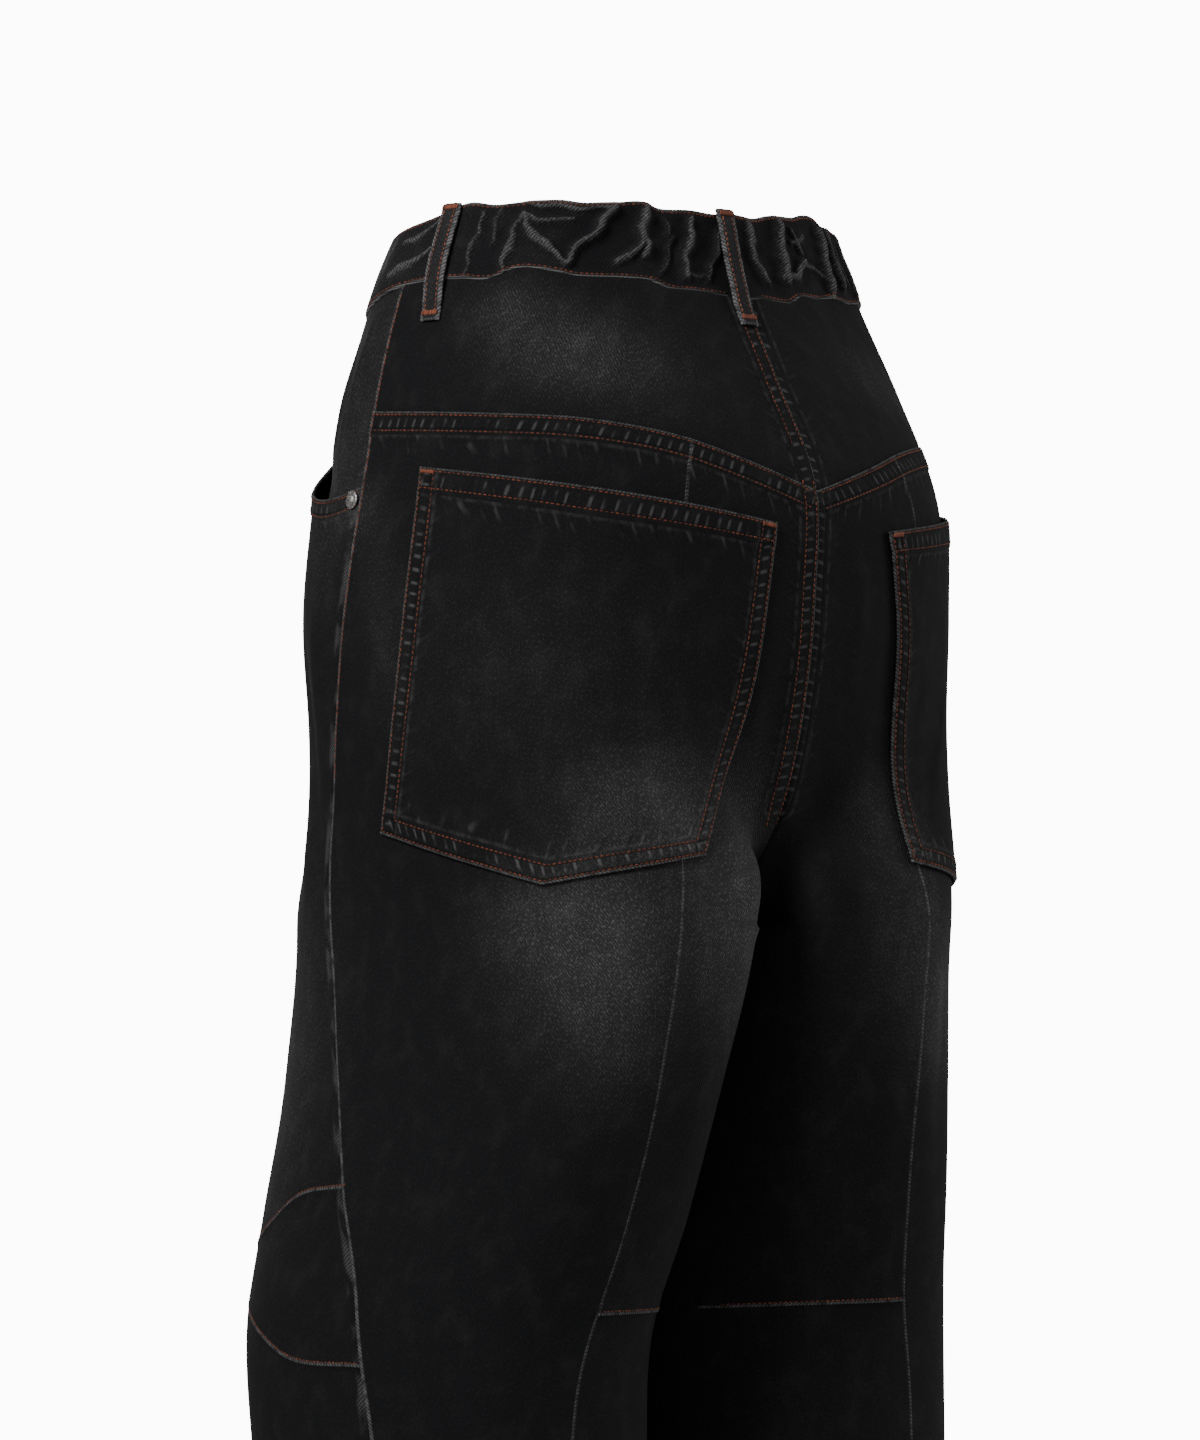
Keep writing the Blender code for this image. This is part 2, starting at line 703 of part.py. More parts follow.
def belt_loop(name, side, top_a, low_a):
    down, off = loop_course()
    share = down / down[-1]
    middle = (top_a + (low_a - top_a) * share) * MM
    top = band_top(share_of(middle[0], BAND_LEVEL))
    z = (top - down)[:, None]
    a = middle[:, None] + np.array((-0.5, 0, 0.5)) * LOOP_WIDTH
    outside = cloth(a, z, off[:, None] + LOOP_THICK, side)
    return wall(name, outside, cloth(a, z, off[:, None], side))


def belt_loop_centre():
    down, off = loop_course()
    z = (band_top(1.0) - down)[:, None]
    x = CENTRE_LOOP_X + np.array((-0.5, 0, 0.5))[None, :] * LOOP_WIDTH
    off = np.maximum(off, FELL_RISE + LAY)[:, None]
    outside = centre_cloth(x, z, off + LOOP_THICK, 1)
    return wall("belt_loop_centre", outside, centre_cloth(x, z, off, 1))


def turned(name, profile, segments, place, outward):
    """Closed round piece from a profile of radius and height, facing outward."""
    vertices = [(0, 0, profile[0][1])]
    for radius, height in profile[1:-1]:
        for k in range(segments):
            angle = 2 * math.pi * k / segments
            vertices.append((radius * math.cos(angle), radius * math.sin(angle), height))
    vertices.append((0, 0, profile[-1][1]))
    rings = len(profile) - 2
    last = len(vertices) - 1
    faces = []
    for k in range(segments):
        n = (k + 1) % segments
        faces.append((0, 1 + n, 1 + k))
        for r in range(rings - 1):
            base = 1 + r * segments
            faces.append((base + k, base + n, base + segments + n, base + segments + k))
        base = 1 + (rings - 1) * segments
        faces.append((base + k, base + n, last))
    made = add_object(name, [tuple(c * MM for c in v) for v in vertices], faces, NICKEL)
    turn = Vector((0, 0, 1)).rotation_difference(Vector(outward))
    made.matrix_world = Matrix.Translation(Vector(place)) @ turn.to_matrix().to_4x4()
    return made


def facing_out(a, z, side):
    share = share_of(np.array(a), np.array(z))
    return read(NORMALS, share, np.array(z)) * (side, 1, 1)


def rivet(name, side, a, z):
    radius = RIVET_RADIUS / MM
    lift, rise = mouth_form(np.array(a), np.array(z))
    lift = lift + rise + RIVET_SEAT
    profile = ((0, 0), (radius, 0), (radius, 0.5), (0.86 * radius, 1.1),
               (0.36 * radius, 1.3), (0.3 * radius, 1.7), (0, 1.8))
    return turned(name, profile, 14, cloth(a, z, lift, side), facing_out(a, z, side))


def button():
    radius = BUTTON_RADIUS / MM
    profile = ((0, 0), (0.35 * radius, 0), (0.35 * radius, 1.4), (radius, 1.8), (radius, 2.9),
               (0.9 * radius, 3.4), (0.74 * radius, 2.8), (0.3 * radius, 2.9), (0, 3.1))
    z = (band_top(-1.0) + band_bottom(-1.0)) / 2
    place = centre_cloth(0.0, z, BAND_RISE + LAY, -1)
    outward = facing_out(-front_reach(z), z, 1) * (0, 1, 1)
    return turned("waist_button", profile, 20, place, outward)


def clear_scene():
    for old in list(bpy.data.objects):
        bpy.data.objects.remove(old, do_unlink=True)


def main():
    clear_scene()
    for word, side in (("left", 1), ("right", -1)):
        front_panel("front_" + word, side)
        back_outer("back_outer_" + word, side)
        back_inner("back_inner_" + word, side)
        yoke("yoke_" + word, side)
        waistband_front("waistband_front_" + word, side)
        pocket_facing("pocket_facing_" + word, side)
        rivet("rivet_side_" + word, side, -10 * MM, MOUTH_LOW - 6 * MM)
        rivet("rivet_front_" + word, side, MOUTH_END - 7 * MM, -64 * MM)
    waistband_back()
    fly_shield()
    for row in POCKETS[1:]:
        pocket_back(row)
    for row in LOOPS[1:]:
        belt_loop(*row)
    belt_loop_centre()
    button()


main()
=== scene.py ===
import math

import bmesh
import bpy
import numpy as np
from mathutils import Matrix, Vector


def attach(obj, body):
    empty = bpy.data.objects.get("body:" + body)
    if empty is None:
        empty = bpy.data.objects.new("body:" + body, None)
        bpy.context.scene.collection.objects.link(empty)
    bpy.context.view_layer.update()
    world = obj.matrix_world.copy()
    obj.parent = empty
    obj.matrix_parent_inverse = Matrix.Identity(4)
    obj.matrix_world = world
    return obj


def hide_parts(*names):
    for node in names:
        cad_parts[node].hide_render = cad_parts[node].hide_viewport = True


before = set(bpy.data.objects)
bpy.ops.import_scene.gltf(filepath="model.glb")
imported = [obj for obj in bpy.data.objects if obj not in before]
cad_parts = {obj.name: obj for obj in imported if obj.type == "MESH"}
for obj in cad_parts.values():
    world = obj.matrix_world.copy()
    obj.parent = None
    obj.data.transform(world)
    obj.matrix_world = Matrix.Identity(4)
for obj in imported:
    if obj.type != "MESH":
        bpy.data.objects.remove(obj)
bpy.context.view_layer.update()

mm = 0.001
coarse = 1.0
sides = (("left", 1), ("right", -1))


# the worn form, as in the solids; seams overlap by 0.1 mm here, and are 0.24 mm wide in the solids

jeans = {
    "length": 1015, "fork": -349, "hip": -129, "seam": -0.05, "wall": 1.3, "hem": 28, "hemRise": 0.7,
    "frontRound": 2.0, "backRound": 2.35, "legRound": 2.2, "focus": 5,
    "frontCrotch": 2.0, "backCrotch": 3.0, "frontParting": 3.0, "backParting": 2.0,
    # level, inner, outer, front, back, side y, inseam y in mm, then how square the corner is
    "sections": (
        (15, 0, 116, -66, 92, 10, 0, 2.20), (0, 0, 121, -70, 95, 10, 0, 2.20),
        (-30, 0, 135, -77, 102, 10, 0, 2.20), (-80, 0, 152, -86, 127, 10, 0, 2.30),
        (-135, 0, 162, -98, 155, 10, 0, 2.60), (-190, 0, 167, -110, 156, 10, 5, 3.20),
        (-250, 0, 163, -112, 154, 10, 10, 3.60), (-305, 0, 155, -113, 153, 11, 13, 3.80),
        (-349, 0, 150, -112, 150, 12, 15, 3.50), (-420, 3, 156, -112, 139, 10, 12, 2.70),
        (-490, 5, 173, -112, 123, 4, 8, 2.25), (-540, 5, 186, -108, 110, -2, 2, 1.85),
        (-610, 7, 190, -96, 106, 0, 2, 1.85), (-790, 10, 190, -86, 103, 3, 4, 2.05),
        (-1015, 13, 188, -82, 98, 5, 5, 2.15)),
    # level, side seam, seam down the back panel
    "seams": (
        (0, 0, 168), (-143, -2, 174), (-193, -9, 175), (-240, -20, 175), (-277, -31, 174),
        (-316, -42, 171), (-350, -45, 166), (-409, -32, 161), (-474, -3, 160), (-526, 28, 156),
        (-574, 41, 147), (-620, 46, 142), (-1015, 42, 135)),
    # distance round from the side, level
    "yokeSeam": ((-5, -100), (70, -105), (119, -108), (164, -115), (205, -126), (250, -139)),
    # share of the way round, top, bottom
    "bandEdges": (
        (-1.0, -14, -54), (-0.6, -13, -53), (-0.2, -9, -47), (0.0, -5, -40), (0.15, -1, -36),
        (0.4, 0, -35), (0.6, 0, -37), (0.8, 0, -40), (1.0, 0, -43)),
}
seam = jeans["seam"] * mm
bottom = -jeans["length"]
stations = 201
farOff = 0.05                                  # stands for no edge near


def eased(places, values, at):
    order = np.argsort(places)
    x, y = np.asarray(places, float)[order], np.asarray(values, float)[order]
    h = np.diff(x)
    d = np.diff(y) / h
    inner = (d[:-1] * h[1:] + d[1:] * h[:-1]) / (h[1:] + h[:-1])
    slope = np.concatenate([d[:1], inner, d[-1:]])
    at = np.clip(at, x[0], x[-1])
    i = np.clip(np.searchsorted(x, at) - 1, 0, len(h) - 1)
    t = (at - x[i]) / h[i]
    return ((2 * t**3 - 3 * t**2 + 1) * y[i] + (t**3 - 2 * t**2 + t) * h[i] * slope[i]
            + (3 * t**2 - 2 * t**3) * y[i + 1] + (t**3 - t**2) * h[i] * slope[i + 1])


def curveOf(table, column=1, scale=mm):
    places = [row[0] * scale for row in table]
    values = [row[column] * mm for row in table]
    return lambda at: eased(places, values, at)


def ramp(low, high, at):
    t = np.clip((at - low) / (high - low), 0, 1)
    return t * t * (3 - 2 * t)


def rampMm(low, high, at):
    return ramp(low * mm, high * mm, at)


def hump(distance, width):
    return np.exp(-((distance / (width * mm)) ** 2))


def unit(vectors):
    return vectors / np.linalg.norm(vectors, axis=-1, keepdims=True)


def rounded(degrees, n):                       # cosine and sine of a squared-off round
    angle = np.radians(degrees)
    return [np.sign(v) * np.abs(v) ** (2 / n) for v in (np.cos(angle), np.sin(angle))]


def fromMiddle(middle, front, back, s):
    return middle + np.where(s > 0, back - middle, middle - front) * s


def sectionAt(z, turn):
    table = np.array(jeans["sections"])
    level = table[:, 0] * mm
    inner, outer, front, back, sideY, inseamY = [
        eased(level, table[:, k] * mm, z) for k in range(1, 7)]
    corner = eased(level, table[:, 7], z)
    inFront = turn < 0.5
    c, s = rounded(180 * turn - 90, np.where(turn > 0.5, jeans["backRound"], jeans["frontRound"]))
    trunkX, trunkY = outer * c, fromMiddle(sideY, front, back, s)
    c, s = rounded(360 * turn - 180, np.where(turn > 0.75, corner, jeans["legRound"]))
    legX = (inner + outer) / 2 + (outer - inner) / 2 * c
    legY = fromMiddle(sideY + (inseamY - sideY) * (1 - c) / 2, front, back, s)
    fork = jeans["fork"] * mm
    up = np.clip((z - fork) / ((jeans["hip"] - jeans["fork"]) * mm), 0, 1)
    crotch = np.where(inFront, jeans["frontCrotch"], jeans["backCrotch"])
    atCentre = 1 - (1 - (1 - up) ** crotch) ** (1 / crotch)
    atSide = ramp(0, 1, (1 - up) ** np.where(inFront, jeans["frontParting"], jeans["backParting"]))
    nearCentre = np.abs(2 * turn - 1) ** jeans["focus"]
    leg = np.where(z <= fork, 1.0, atCentre * nearCentre + atSide * (1 - nearCentre))
    return seam + (1 - leg) * trunkX + leg * legX, (1 - leg) * trunkY + leg * legY


def sampleBody():
    hip, fork = jeans["hip"] * mm, jeans["fork"] * mm
    above = np.arange(14 * mm, hip, -2.5 * mm)
    parting = hip + (fork - hip) * (1 - np.linspace(1, 0, 140) ** 3)
    below = np.arange(fork - 2.5 * mm, (bottom - 8) * mm, -2.5 * mm)
    levels = np.concatenate([above, parting, below])
    turns, heights = np.meshgrid(np.linspace(0, 1, 1601), levels)
    x, y = sectionAt(heights, turns)
    walked = np.cumsum(np.hypot(np.diff(x, axis=1), np.diff(y, axis=1)), axis=1)
    arc = np.concatenate([np.zeros((len(levels), 1)), walked], axis=1)
    arc -= arc[:, 800:801]
    share = np.linspace(0, 1, stations)
    points = np.empty((len(levels), 2 * stations - 1, 3))
    for k, level in enumerate(levels):
        at = np.concatenate([share[::-1][:-1] * arc[k, 0], share * arc[k, -1]])
        points[k, :, 0] = np.interp(at, arc[k], x[k])
        points[k, :, 1] = np.interp(at, arc[k], y[k])
        points[k, :, 2] = level
    normals = np.cross(np.gradient(points, axis=1), -np.gradient(points, axis=0))
    return levels, points, unit(normals), -arc[:, 0], arc[:, -1]


levels, bodyPoints, bodyNormals, frontArc, backArc = sampleBody()


def frontReach(z):
    return np.interp(-z, -levels, frontArc)


def backReach(z):
    return np.interp(-z, -levels, backArc)


def shareOf(a, z):
    return np.where(a < 0, a / frontReach(z), a / backReach(z))


def read(samples, share, z):
    k = np.clip(np.searchsorted(-levels, -z) - 1, 0, len(levels) - 2)
    t = np.clip((levels[k] - z) / (levels[k] - levels[k + 1]), 0, 1)[..., None]
    place = (np.clip(share, -1, 1) + 1) * (stations - 1)
    i = np.clip(place.astype(int), 0, 2 * stations - 3)
    s = (place - i)[..., None]
    upper = samples[k, i] * (1 - s) + samples[k, i + 1] * s
    lower = samples[k + 1, i] * (1 - s) + samples[k + 1, i + 1] * s
    return upper * (1 - t) + lower * t


# soft folds laid one by one: side (0 both), a, z, lean in degrees, half length, half width, rise

folds = (
    (0, 234, -322, 0, 38, 18, 8.5), (0, -62, -205, 4, 105, 34, 4.2),
    (1, -38, -205, 8, 60, 7, 1.6), (1, -60, -240, 4, 90, 9, -1.6), (1, -78, -300, -4, 100, 11, 1.8),
    (1, -52, -350, 10, 70, 9, 1.2), (1, 18, -180, 6, 34, 6, 0.8), (1, -22, -410, -16, 60, 9, 1.3),
    (1, 60, -420, -14, 90, 15, 1.2), (1, 118, -470, -10, 90, 16, 1.4),
    (1, 92, -395, 28, 60, 12, -1.0), (1, 30, -350, -24, 70, 12, -1.2),
    (1, 206, -330, 10, 60, 9, 1.0), (1, 236, -300, 14, 60, 7, -1.0),
    (1, 150, -540, -4, 80, 14, 1.2), (1, 90, -560, 6, 70, 13, -1.0), (1, 66, -78, 70, 30, 6, 0.6),
    (1, 130, -92, 62, 36, 7, 0.5), (1, 222, -250, 6, 70, 8, 0.8), (1, 190, -420, -6, 90, 12, 1.2),
    (-1, 142, -70, -34, 34, 4, 0.9), (-1, 160, -95, -40, 26, 4, 0.7), (-1, 120, -84, -28, 30, 5, 0.6),
    (-1, 222, -200, 10, 60, 8, 1.0), (-1, 196, -230, 6, 80, 7, -0.9), (-1, 178, -380, 4, 90, 7, 1.2),
    (-1, 196, -440, 6, 110, 9, -1.3), (-1, 140, -400, 4, 90, 9, -1.4),
    (-1, 120, -440, 2, 110, 10, 1.6), (-1, 232, -470, -4, 80, 12, 1.0),
    (-1, 60, -400, 14, 90, 14, 1.3), (-1, -45, -230, 6, 80, 9, 1.5),
    (-1, -70, -320, -4, 90, 11, 1.7), (-1, 30, -350, -20, 70, 12, -1.1),
    (0, -120, -420, 8, 110, 16, 1.6), (0, -190, -470, -6, 120, 18, -1.6),
    (0, -235, -380, 22, 70, 14, 1.2), (0, -150, -250, 66, 60, 9, 0.9),
    (0, -176, -290, 58, 50, 9, 1.1), (0, -120, -320, 50, 60, 10, -0.9),
    (0, 40, -690, 0, 120, 18, 1.4), (0, -60, -660, 6, 100, 16, -1.4), (0, 110, -740, -4, 130, 18, 1.4),
    (0, 200, -700, 4, 120, 16, -1.2), (0, -150, -720, -4, 140, 18, 1.5),
    (0, -230, -650, 8, 110, 16, 1.2), (0, 0, -860, 4, 100, 16, 1.3), (0, 90, -900, -6, 90, 15, -1.3),
    (0, 180, -880, 2, 100, 16, 1.2), (0, -90, -900, 6, 90, 15, 1.3), (0, -190, -880, -4, 100, 16, -1.2),
    (0, 30, -965, 60, 30, 8, 0.8), (0, -130, -975, -70, 34, 8, 0.8), (0, 130, -975, 76, 34, 8, 0.8),
)


def leaned(a, z, a0, z0, lean, half, width):   # how far down a leaning patch, and how far across it
    c, s = math.cos(math.radians(lean)), math.sin(math.radians(lean))
    a, z = a - a0 * mm, z - z0 * mm
    return (-a * s - z * c) / (half * mm), (a * c - z * s) / (width * mm)


def laidFolds(a, z, side, table, bend=0.0):
    out = np.zeros(np.broadcast(a, z).shape)
    for only, a0, z0, lean, half, width, rise in table:
        if only * side >= 0:
            along, across = leaned(a, z, a0, z0, lean, half, width)
            taper = np.where(np.abs(along) < 1, np.cos(along * math.pi / 2) ** 2, 0)
            across = across + bend * np.sin(2.1 * along + a0)
            out += rise * mm * taper * np.exp(-across**2)
    return out


def foldRise(a, z, side):
    wave = np.sin(a / (23 * mm) + z / (61 * mm) + side) * np.sin(z / (37 * mm) - a / (70 * mm))
    return laidFolds(a, z, side, folds, 0.35) + 0.25 * mm * wave * rampMm(-60, -110, z)


# a goes round from the side seam, to the front below 0 and to the back above it; z is the height

def cloth(a, z, lift, side, folded=True):
    a, z, lift = np.broadcast_arrays(np.asarray(a, float), z, lift)
    if folded:
        centre = np.minimum(a + frontReach(z), backReach(z) - a)
        lift = lift + foldRise(a, z, side) * rampMm(0, 14, centre)
    share = shareOf(a, z)
    normal = unit(read(bodyNormals, share, z))
    return (read(bodyPoints, share, z) + normal * lift[..., None]) * (side, 1, 1)


def centreCloth(x, z, lift, end):              # x goes out from the centre, at the back or the front
    x, z, lift = np.broadcast_arrays(np.asarray(x, float), z, lift)
    reach = backReach(z) if end > 0 else -frontReach(z)
    point = cloth(reach - end * np.abs(x), z, lift, 1, folded=False)
    point[..., 0] = np.where(x < 0, -1.0, 1.0) * (point[..., 0] - seam)
    return point


sideSeam = curveOf(jeans["seams"])
backSeam = curveOf(jeans["seams"], 2)
yokeSeam = curveOf(jeans["yokeSeam"])

# uneven edges of the gathered band: a, how far up, in mm, left half and right half
bandWaves = {
    "top": (
        ((-60, 1), (11, 1.2), (27, 3.1), (41, 0.6), (50, 1.2), (60, 2.3), (72, 2.5), (84, 1.4),
         (92, 1.9), (100, 2.4), (115, 3.2), (122, 1.0), (142, 1.2), (157, 0.4), (170, 1.5), (200, 1.5)),
        ((-60, 1), (10, 2.4), (30, 1.5), (45, 3), (60, 0.5), (75, 4), (86, 3), (94, 6.5), (108, 6.5),
         (118, 4.4), (129, 3.9), (140, 2.9), (152, 0.6), (160, 1.2), (170, 1.5), (200, 1.5))),
    "low": (
        ((-60, 0), (8, 1.5), (37, -1.5), (52, -2.5), (60, 1.5), (78, 1.5), (91, -0.5), (118, 1),
         (131, 1.5), (144, -1), (160, 0), (210, 0)),
        ((-60, 0), (10, 0), (30, 1), (50, -1), (70, 1.5), (95, 0), (117, 2), (130, 1), (147, 2),
         (160, -1), (180, 1), (195, 0), (210, 0))),
}


def bandEdge(name, column, height):
    even = curveOf(jeans["bandEdges"], column, 1)
    left, right = [curveOf(table) for table in bandWaves[name]]
    return lambda a, side: even(shareOf(a, height * mm)) + np.where(side > 0, left(a), right(a))


bandTop = bandEdge("top", 1, -10)
bandBottom = bandEdge("low", 2, -45)


# mesh helpers

def steps(start, end, size):
    count = max(1, int(round(abs(end - start) / (size * coarse))))
    return list(np.linspace(start, end, count + 1))


def meshPiece(name, points, faces):
    mesh = bpy.data.meshes.new(name)
    mesh.from_pydata(points.reshape(-1, 3).tolist(), [], faces)
    mesh.shade_smooth()
    piece = bpy.data.objects.new(name, mesh)
    bpy.context.scene.collection.objects.link(piece)
    return piece


def addField(piece, name, values):
    layer = piece.data.attributes.new(name, "FLOAT", "POINT")
    layer.data.foreach_set("value", np.asarray(values, float).ravel())


def applyAll(piece):
    bpy.ops.object.select_all(action="DESELECT")
    piece.select_set(True)
    bpy.context.view_layer.objects.active = piece
    for modifier in list(piece.modifiers):
        bpy.ops.object.modifier_apply(modifier=modifier.name)
    piece.select_set(False)


def sheetMesh(name, points, u, v, fields, flip, wall=jeans["wall"]):
    rows, columns = points.shape[:2]
    k = (np.arange(rows - 1)[:, None] * columns + np.arange(columns - 1)).ravel()
    faces = np.stack([k, k + columns, k + columns + 1, k + 1], axis=1)
    if flip:
        faces = faces[:, ::-1]
    piece = meshPiece(name, points, faces.tolist())
    flat = np.stack([u, v], axis=-1).reshape(-1, 2)
    uv = piece.data.uv_layers.new(name="cloth")
    uv.data.foreach_set("uv", flat[faces.ravel()].ravel())
    for key, values in fields.items():
        addField(piece, key, np.broadcast_to(values, (rows, columns)))
    solid = piece.modifiers.new("wall", "SOLIDIFY")
    solid.thickness = wall * mm
    solid.offset = -1
    solid.use_even_offset = False
    applyAll(piece)
    return piece


def edgeRoll(distance, depth=0.35, width=0.9):
    return -depth * mm * hump(distance, width)


# grey washed patches, two of them painted light: side, a, z, half widths across and down, lean, strength

fadePatchesAndPaintedLight = (
    (1, 152, -290, 34, 22, 14, 0.56), (1, 172, -306, 14, 14, 0, 0.20), (1, 118, -366, 34, 36, -8, 0.46),
    (1, 145, -352, 24, 26, 0, 0.30), (1, 96, -346, 34, 18, 12, 0.30), (1, 138, -404, 22, 30, 0, 0.26),
    # painted light: the first two patches below, on the inner back panel by the fork, lighten it as if lit;
    # the rest are wash
    (1, 204, -352, 30, 44, 6, 0.72), (1, 224, -320, 18, 46, 8, 0.45), (1, 122, -80, 40, 18, -14, 0.30),
    (1, 96, -72, 30, 18, 0, 0.24), (1, 66, -52, 18, 12, 0, 0.30), (1, 18, -200, 12, 46, 8, 0.14),
    (1, 108, -228, 60, 44, 0, 0.12), (1, -4, -148, 14, 12, 0, 0.24), (1, -30, -150, 14, 50, 0, 0.12),
    (-1, 166, -350, 12, 40, 0, 0.40), (-1, 146, -385, 16, 30, 0, 0.34),
    (-1, 190, -345, 14, 40, 0, 0.24), (-1, 188, -290, 16, 20, 0, 0.20),
    (-1, 120, -380, 34, 40, 0, 0.50), (-1, 122, -80, 34, 16, 10, 0.26),
    (0, -120, -420, 60, 90, 0, 0.46), (0, -140, -280, 46, 50, 0, 0.28), (0, -150, -560, 40, 50, 0, 0.20),
    (0, -60, -150, 40, 40, 0, 0.10), (0, -120, -760, 60, 90, 0, 0.12),
)


def fadeAndPaintedLightAt(a, z, side):
    out = np.zeros(np.broadcast(a, z).shape)
    for only, a0, z0, wide, high, lean, strength in fadePatchesAndPaintedLight:
        if only * side >= 0:
            down, across = leaned(a, z, a0, z0, -lean, high, wide)
            out += strength * np.exp(-(np.abs(across) ** 2.2 + np.abs(down) ** 2.2) * 0.8)
    return np.clip(out, 0, 1)


# shader graph in expressions

class Value:
    def __init__(self, graph, socket):
        self.graph = graph
        self.socket = socket

    def join(self, operation, *values):
        return self.graph.node("Math", {"operation": operation}, values)

    def __add__(self, other):
        return self.join("ADD", self, other)

    def __mul__(self, other):
        return self.join("MULTIPLY", self, other)

    def __sub__(self, other):
        return self.join("SUBTRACT", self, other)

    def __rsub__(self, other):
        return self.join("SUBTRACT", other, self)

    def wave(self):
        return self.join("SINE", self)

    __radd__, __rmul__ = __add__, __mul__


class Graph:
    def __init__(self, name):
        self.material = bpy.data.materials.new(name)
        self.material.use_nodes = True
        self.tree = self.material.node_tree
        self.tree.nodes.clear()

    def node(self, kind, settings=None, inputs=(), output=0):
        made = self.tree.nodes.new("ShaderNode" + kind)
        for key, value in (settings or {}).items():
            setattr(made, key, value)
        for key, value in inputs.items() if isinstance(inputs, dict) else enumerate(inputs):
            if isinstance(value, Value):
                self.tree.links.new(value.socket, made.inputs[key])
            else:
                made.inputs[key].default_value = value
        return Value(self, made.outputs[output]) if made.outputs else None

    def field(self, name):
        return self.node("Attribute", {"attribute_name": name}, output="Fac")

    def vector(self, *parts):
        return self.node("CombineXYZ", {}, parts)

    def smooth(self, value, low, high):
        return self.node("MapRange", {"interpolation_type": "SMOOTHSTEP"},
                         {"Value": value, "From Min": low, "From Max": high})

    def between(self, value, a, b, c, d):      # 1 from b to c, and 0 before a and after d
        return self.smooth(value, a, b) * (1 - self.smooth(value, c, d))

    def noise(self, vector, detail=2.0, rough=0.5):
        return self.node("TexNoise", {"noise_dimensions": "3D"},
                         {"Vector": vector, "Scale": 1.0, "Detail": detail, "Roughness": rough})

    def grainNoise(self, vector, scale, detail=2.0, rough=0.5):
        scaled = self.node("VectorMath", {"operation": "MULTIPLY"}, (vector, scale))
        return self.noise(scaled, detail, rough)

    def mix(self, factor, first, second):
        return self.node("Mix", {"data_type": "RGBA"}, {0: factor, 6: first, 7: second}, output=2)

    def bump(self, strength, distance, height):
        return self.node("Bump", {}, {"Strength": strength, "Distance": distance * mm, "Height": height})

    def finish(self, colour, roughness, normal=None, metallic=0.0, gloss=0.5):
        inputs = {"Base Color": colour, "Roughness": roughness, "Metallic": metallic,
                  "Specular IOR Level": gloss}
        if normal is not None:
            inputs["Normal"] = normal
        shader = self.node("BsdfPrincipled", {}, inputs)
        self.node("OutputMaterial", {}, {"Surface": shader})
        return self.material


denim = {
    "dark": (0.0058, 0.0059, 0.0067, 1), "grey": (0.160, 0.154, 0.155, 1),
    "pepper": 1180, "twillPitch": 1.25, "rough": 0.92, "gloss": 0.10, "ropePitch": 5.7, "cordPitch": 1.85,
}


# each edge: its field, the way it runs, width of its seam strip, strength, how far the wear reaches

def denimFinish(name, edges, turned=False, base=0.0, twill=1.0, ridges=0.0):
    g = Graph(name)
    uv = g.node("UVMap", {"uv_map": "cloth"})
    u = g.node("SeparateXYZ", {}, (uv,))
    v = Value(g, u.socket.node.outputs[1])
    if turned:
        u, v = v, u
    grain = g.vector(u, v, 0.0)
    warm = g.grainNoise(grain, (210, 150, 1))
    across, along = u * 0.88 + v * 0.47, v * 0.88 - u * 0.47
    pepper = g.noise(g.vector(across * denim["pepper"], along * (denim["pepper"] * 0.52), 0.0), 2.0, 0.65)
    weft = g.grainNoise(grain, (420, 1500, 1), 2.0, 0.6)
    warp = g.grainNoise(grain, (1500, 480, 1), 2.0, 0.6)
    blotch = g.grainNoise(grain, (80, 55, 1), 3.0, 0.55)
    pitch = denim["twillPitch"] * mm
    diagonal = (u * 0.80 + v * 0.60) * (2 * math.pi / pitch) + warm * 5.0 + warp * 1.6
    twillLine = diagonal.wave() * 0.5 + 0.5
    patchy = g.field("fadeAndPaintedLight") * (blotch * 0.9 + 0.50) * (warm * 0.6 + 0.70)
    specks = g.smooth(pepper, 0.50, 0.68)
    threads = g.smooth(weft, 0.54, 0.78) * 0.6 + g.smooth(warp, 0.54, 0.78) * 0.6
    light = patchy * 0.12 + specks * (0.030 + patchy * 0.50) + threads * (0.022 + patchy * 0.26)
    light = light + twillLine * (0.010 + patchy * 0.16) * twill + base
    light = light + g.smooth(blotch, 0.45, 0.80) * 0.030
    height = pepper * 0.5 + twillLine * 0.45 * twill + threads * 0.4
    if ridges:
        # the band's worn field: wear on the crests and rubbed places above zero, painted shade in the hollows
        # below zero
        worn = g.field("worn")
        crest = g.smooth(worn + (pepper - 0.5) * 0.5, 0.16, 1.05) * (warm * 0.8 + 0.6)
        light = light + crest * (twillLine * 0.34 + specks * 0.26 + 0.05) * ridges
        # painted shade: below zero, in the hollows between the band's creases, the cloth is darkened by up to
        # 0.6
        light = light * (1 - g.smooth(worn * -1, 0.15, 0.95) * 0.60)
    for field, way, wide, strength, reach in edges:
        distance = g.field(field)
        run = v if way == "v" else u
        worn = g.noise(g.vector(run * (190 if reach < 3 else 48), distance * 90, 3.0), 2.0, 0.6)
        rim = 1 - g.smooth(distance, reach * 0.55 * mm, reach * mm)
        if reach > 3:                          # a wide edge wears in patches
            rim = rim * g.smooth(worn, 0.42, 0.60) * 0.62
        cord = run * (2 * math.pi / (denim["cordPitch"] * mm)) + distance * 2900 + worn * 2
        cord = cord.wave() * 0.5 + 0.5
        rubbed = (g.smooth(worn, 0.30, 0.62) * 0.34 + 0.10) * (cord * 0.95 + 0.25)
        light = light + rim * rubbed * strength
        height = height + rim * cord * 0.7
        if wide:
            light, height = seamStrip(g, light, height, distance, run, worn, wide * mm, strength,
                                      0.16 if way == "u" else 0.04)
    colour = g.mix(g.node("Clamp", {}, (light, 0.0, 1.0)), denim["dark"], denim["grey"])
    rough = denim["rough"] + pepper * 0.06
    return g.finish(colour, rough, g.bump(0.9, 0.35, height), gloss=denim["gloss"])


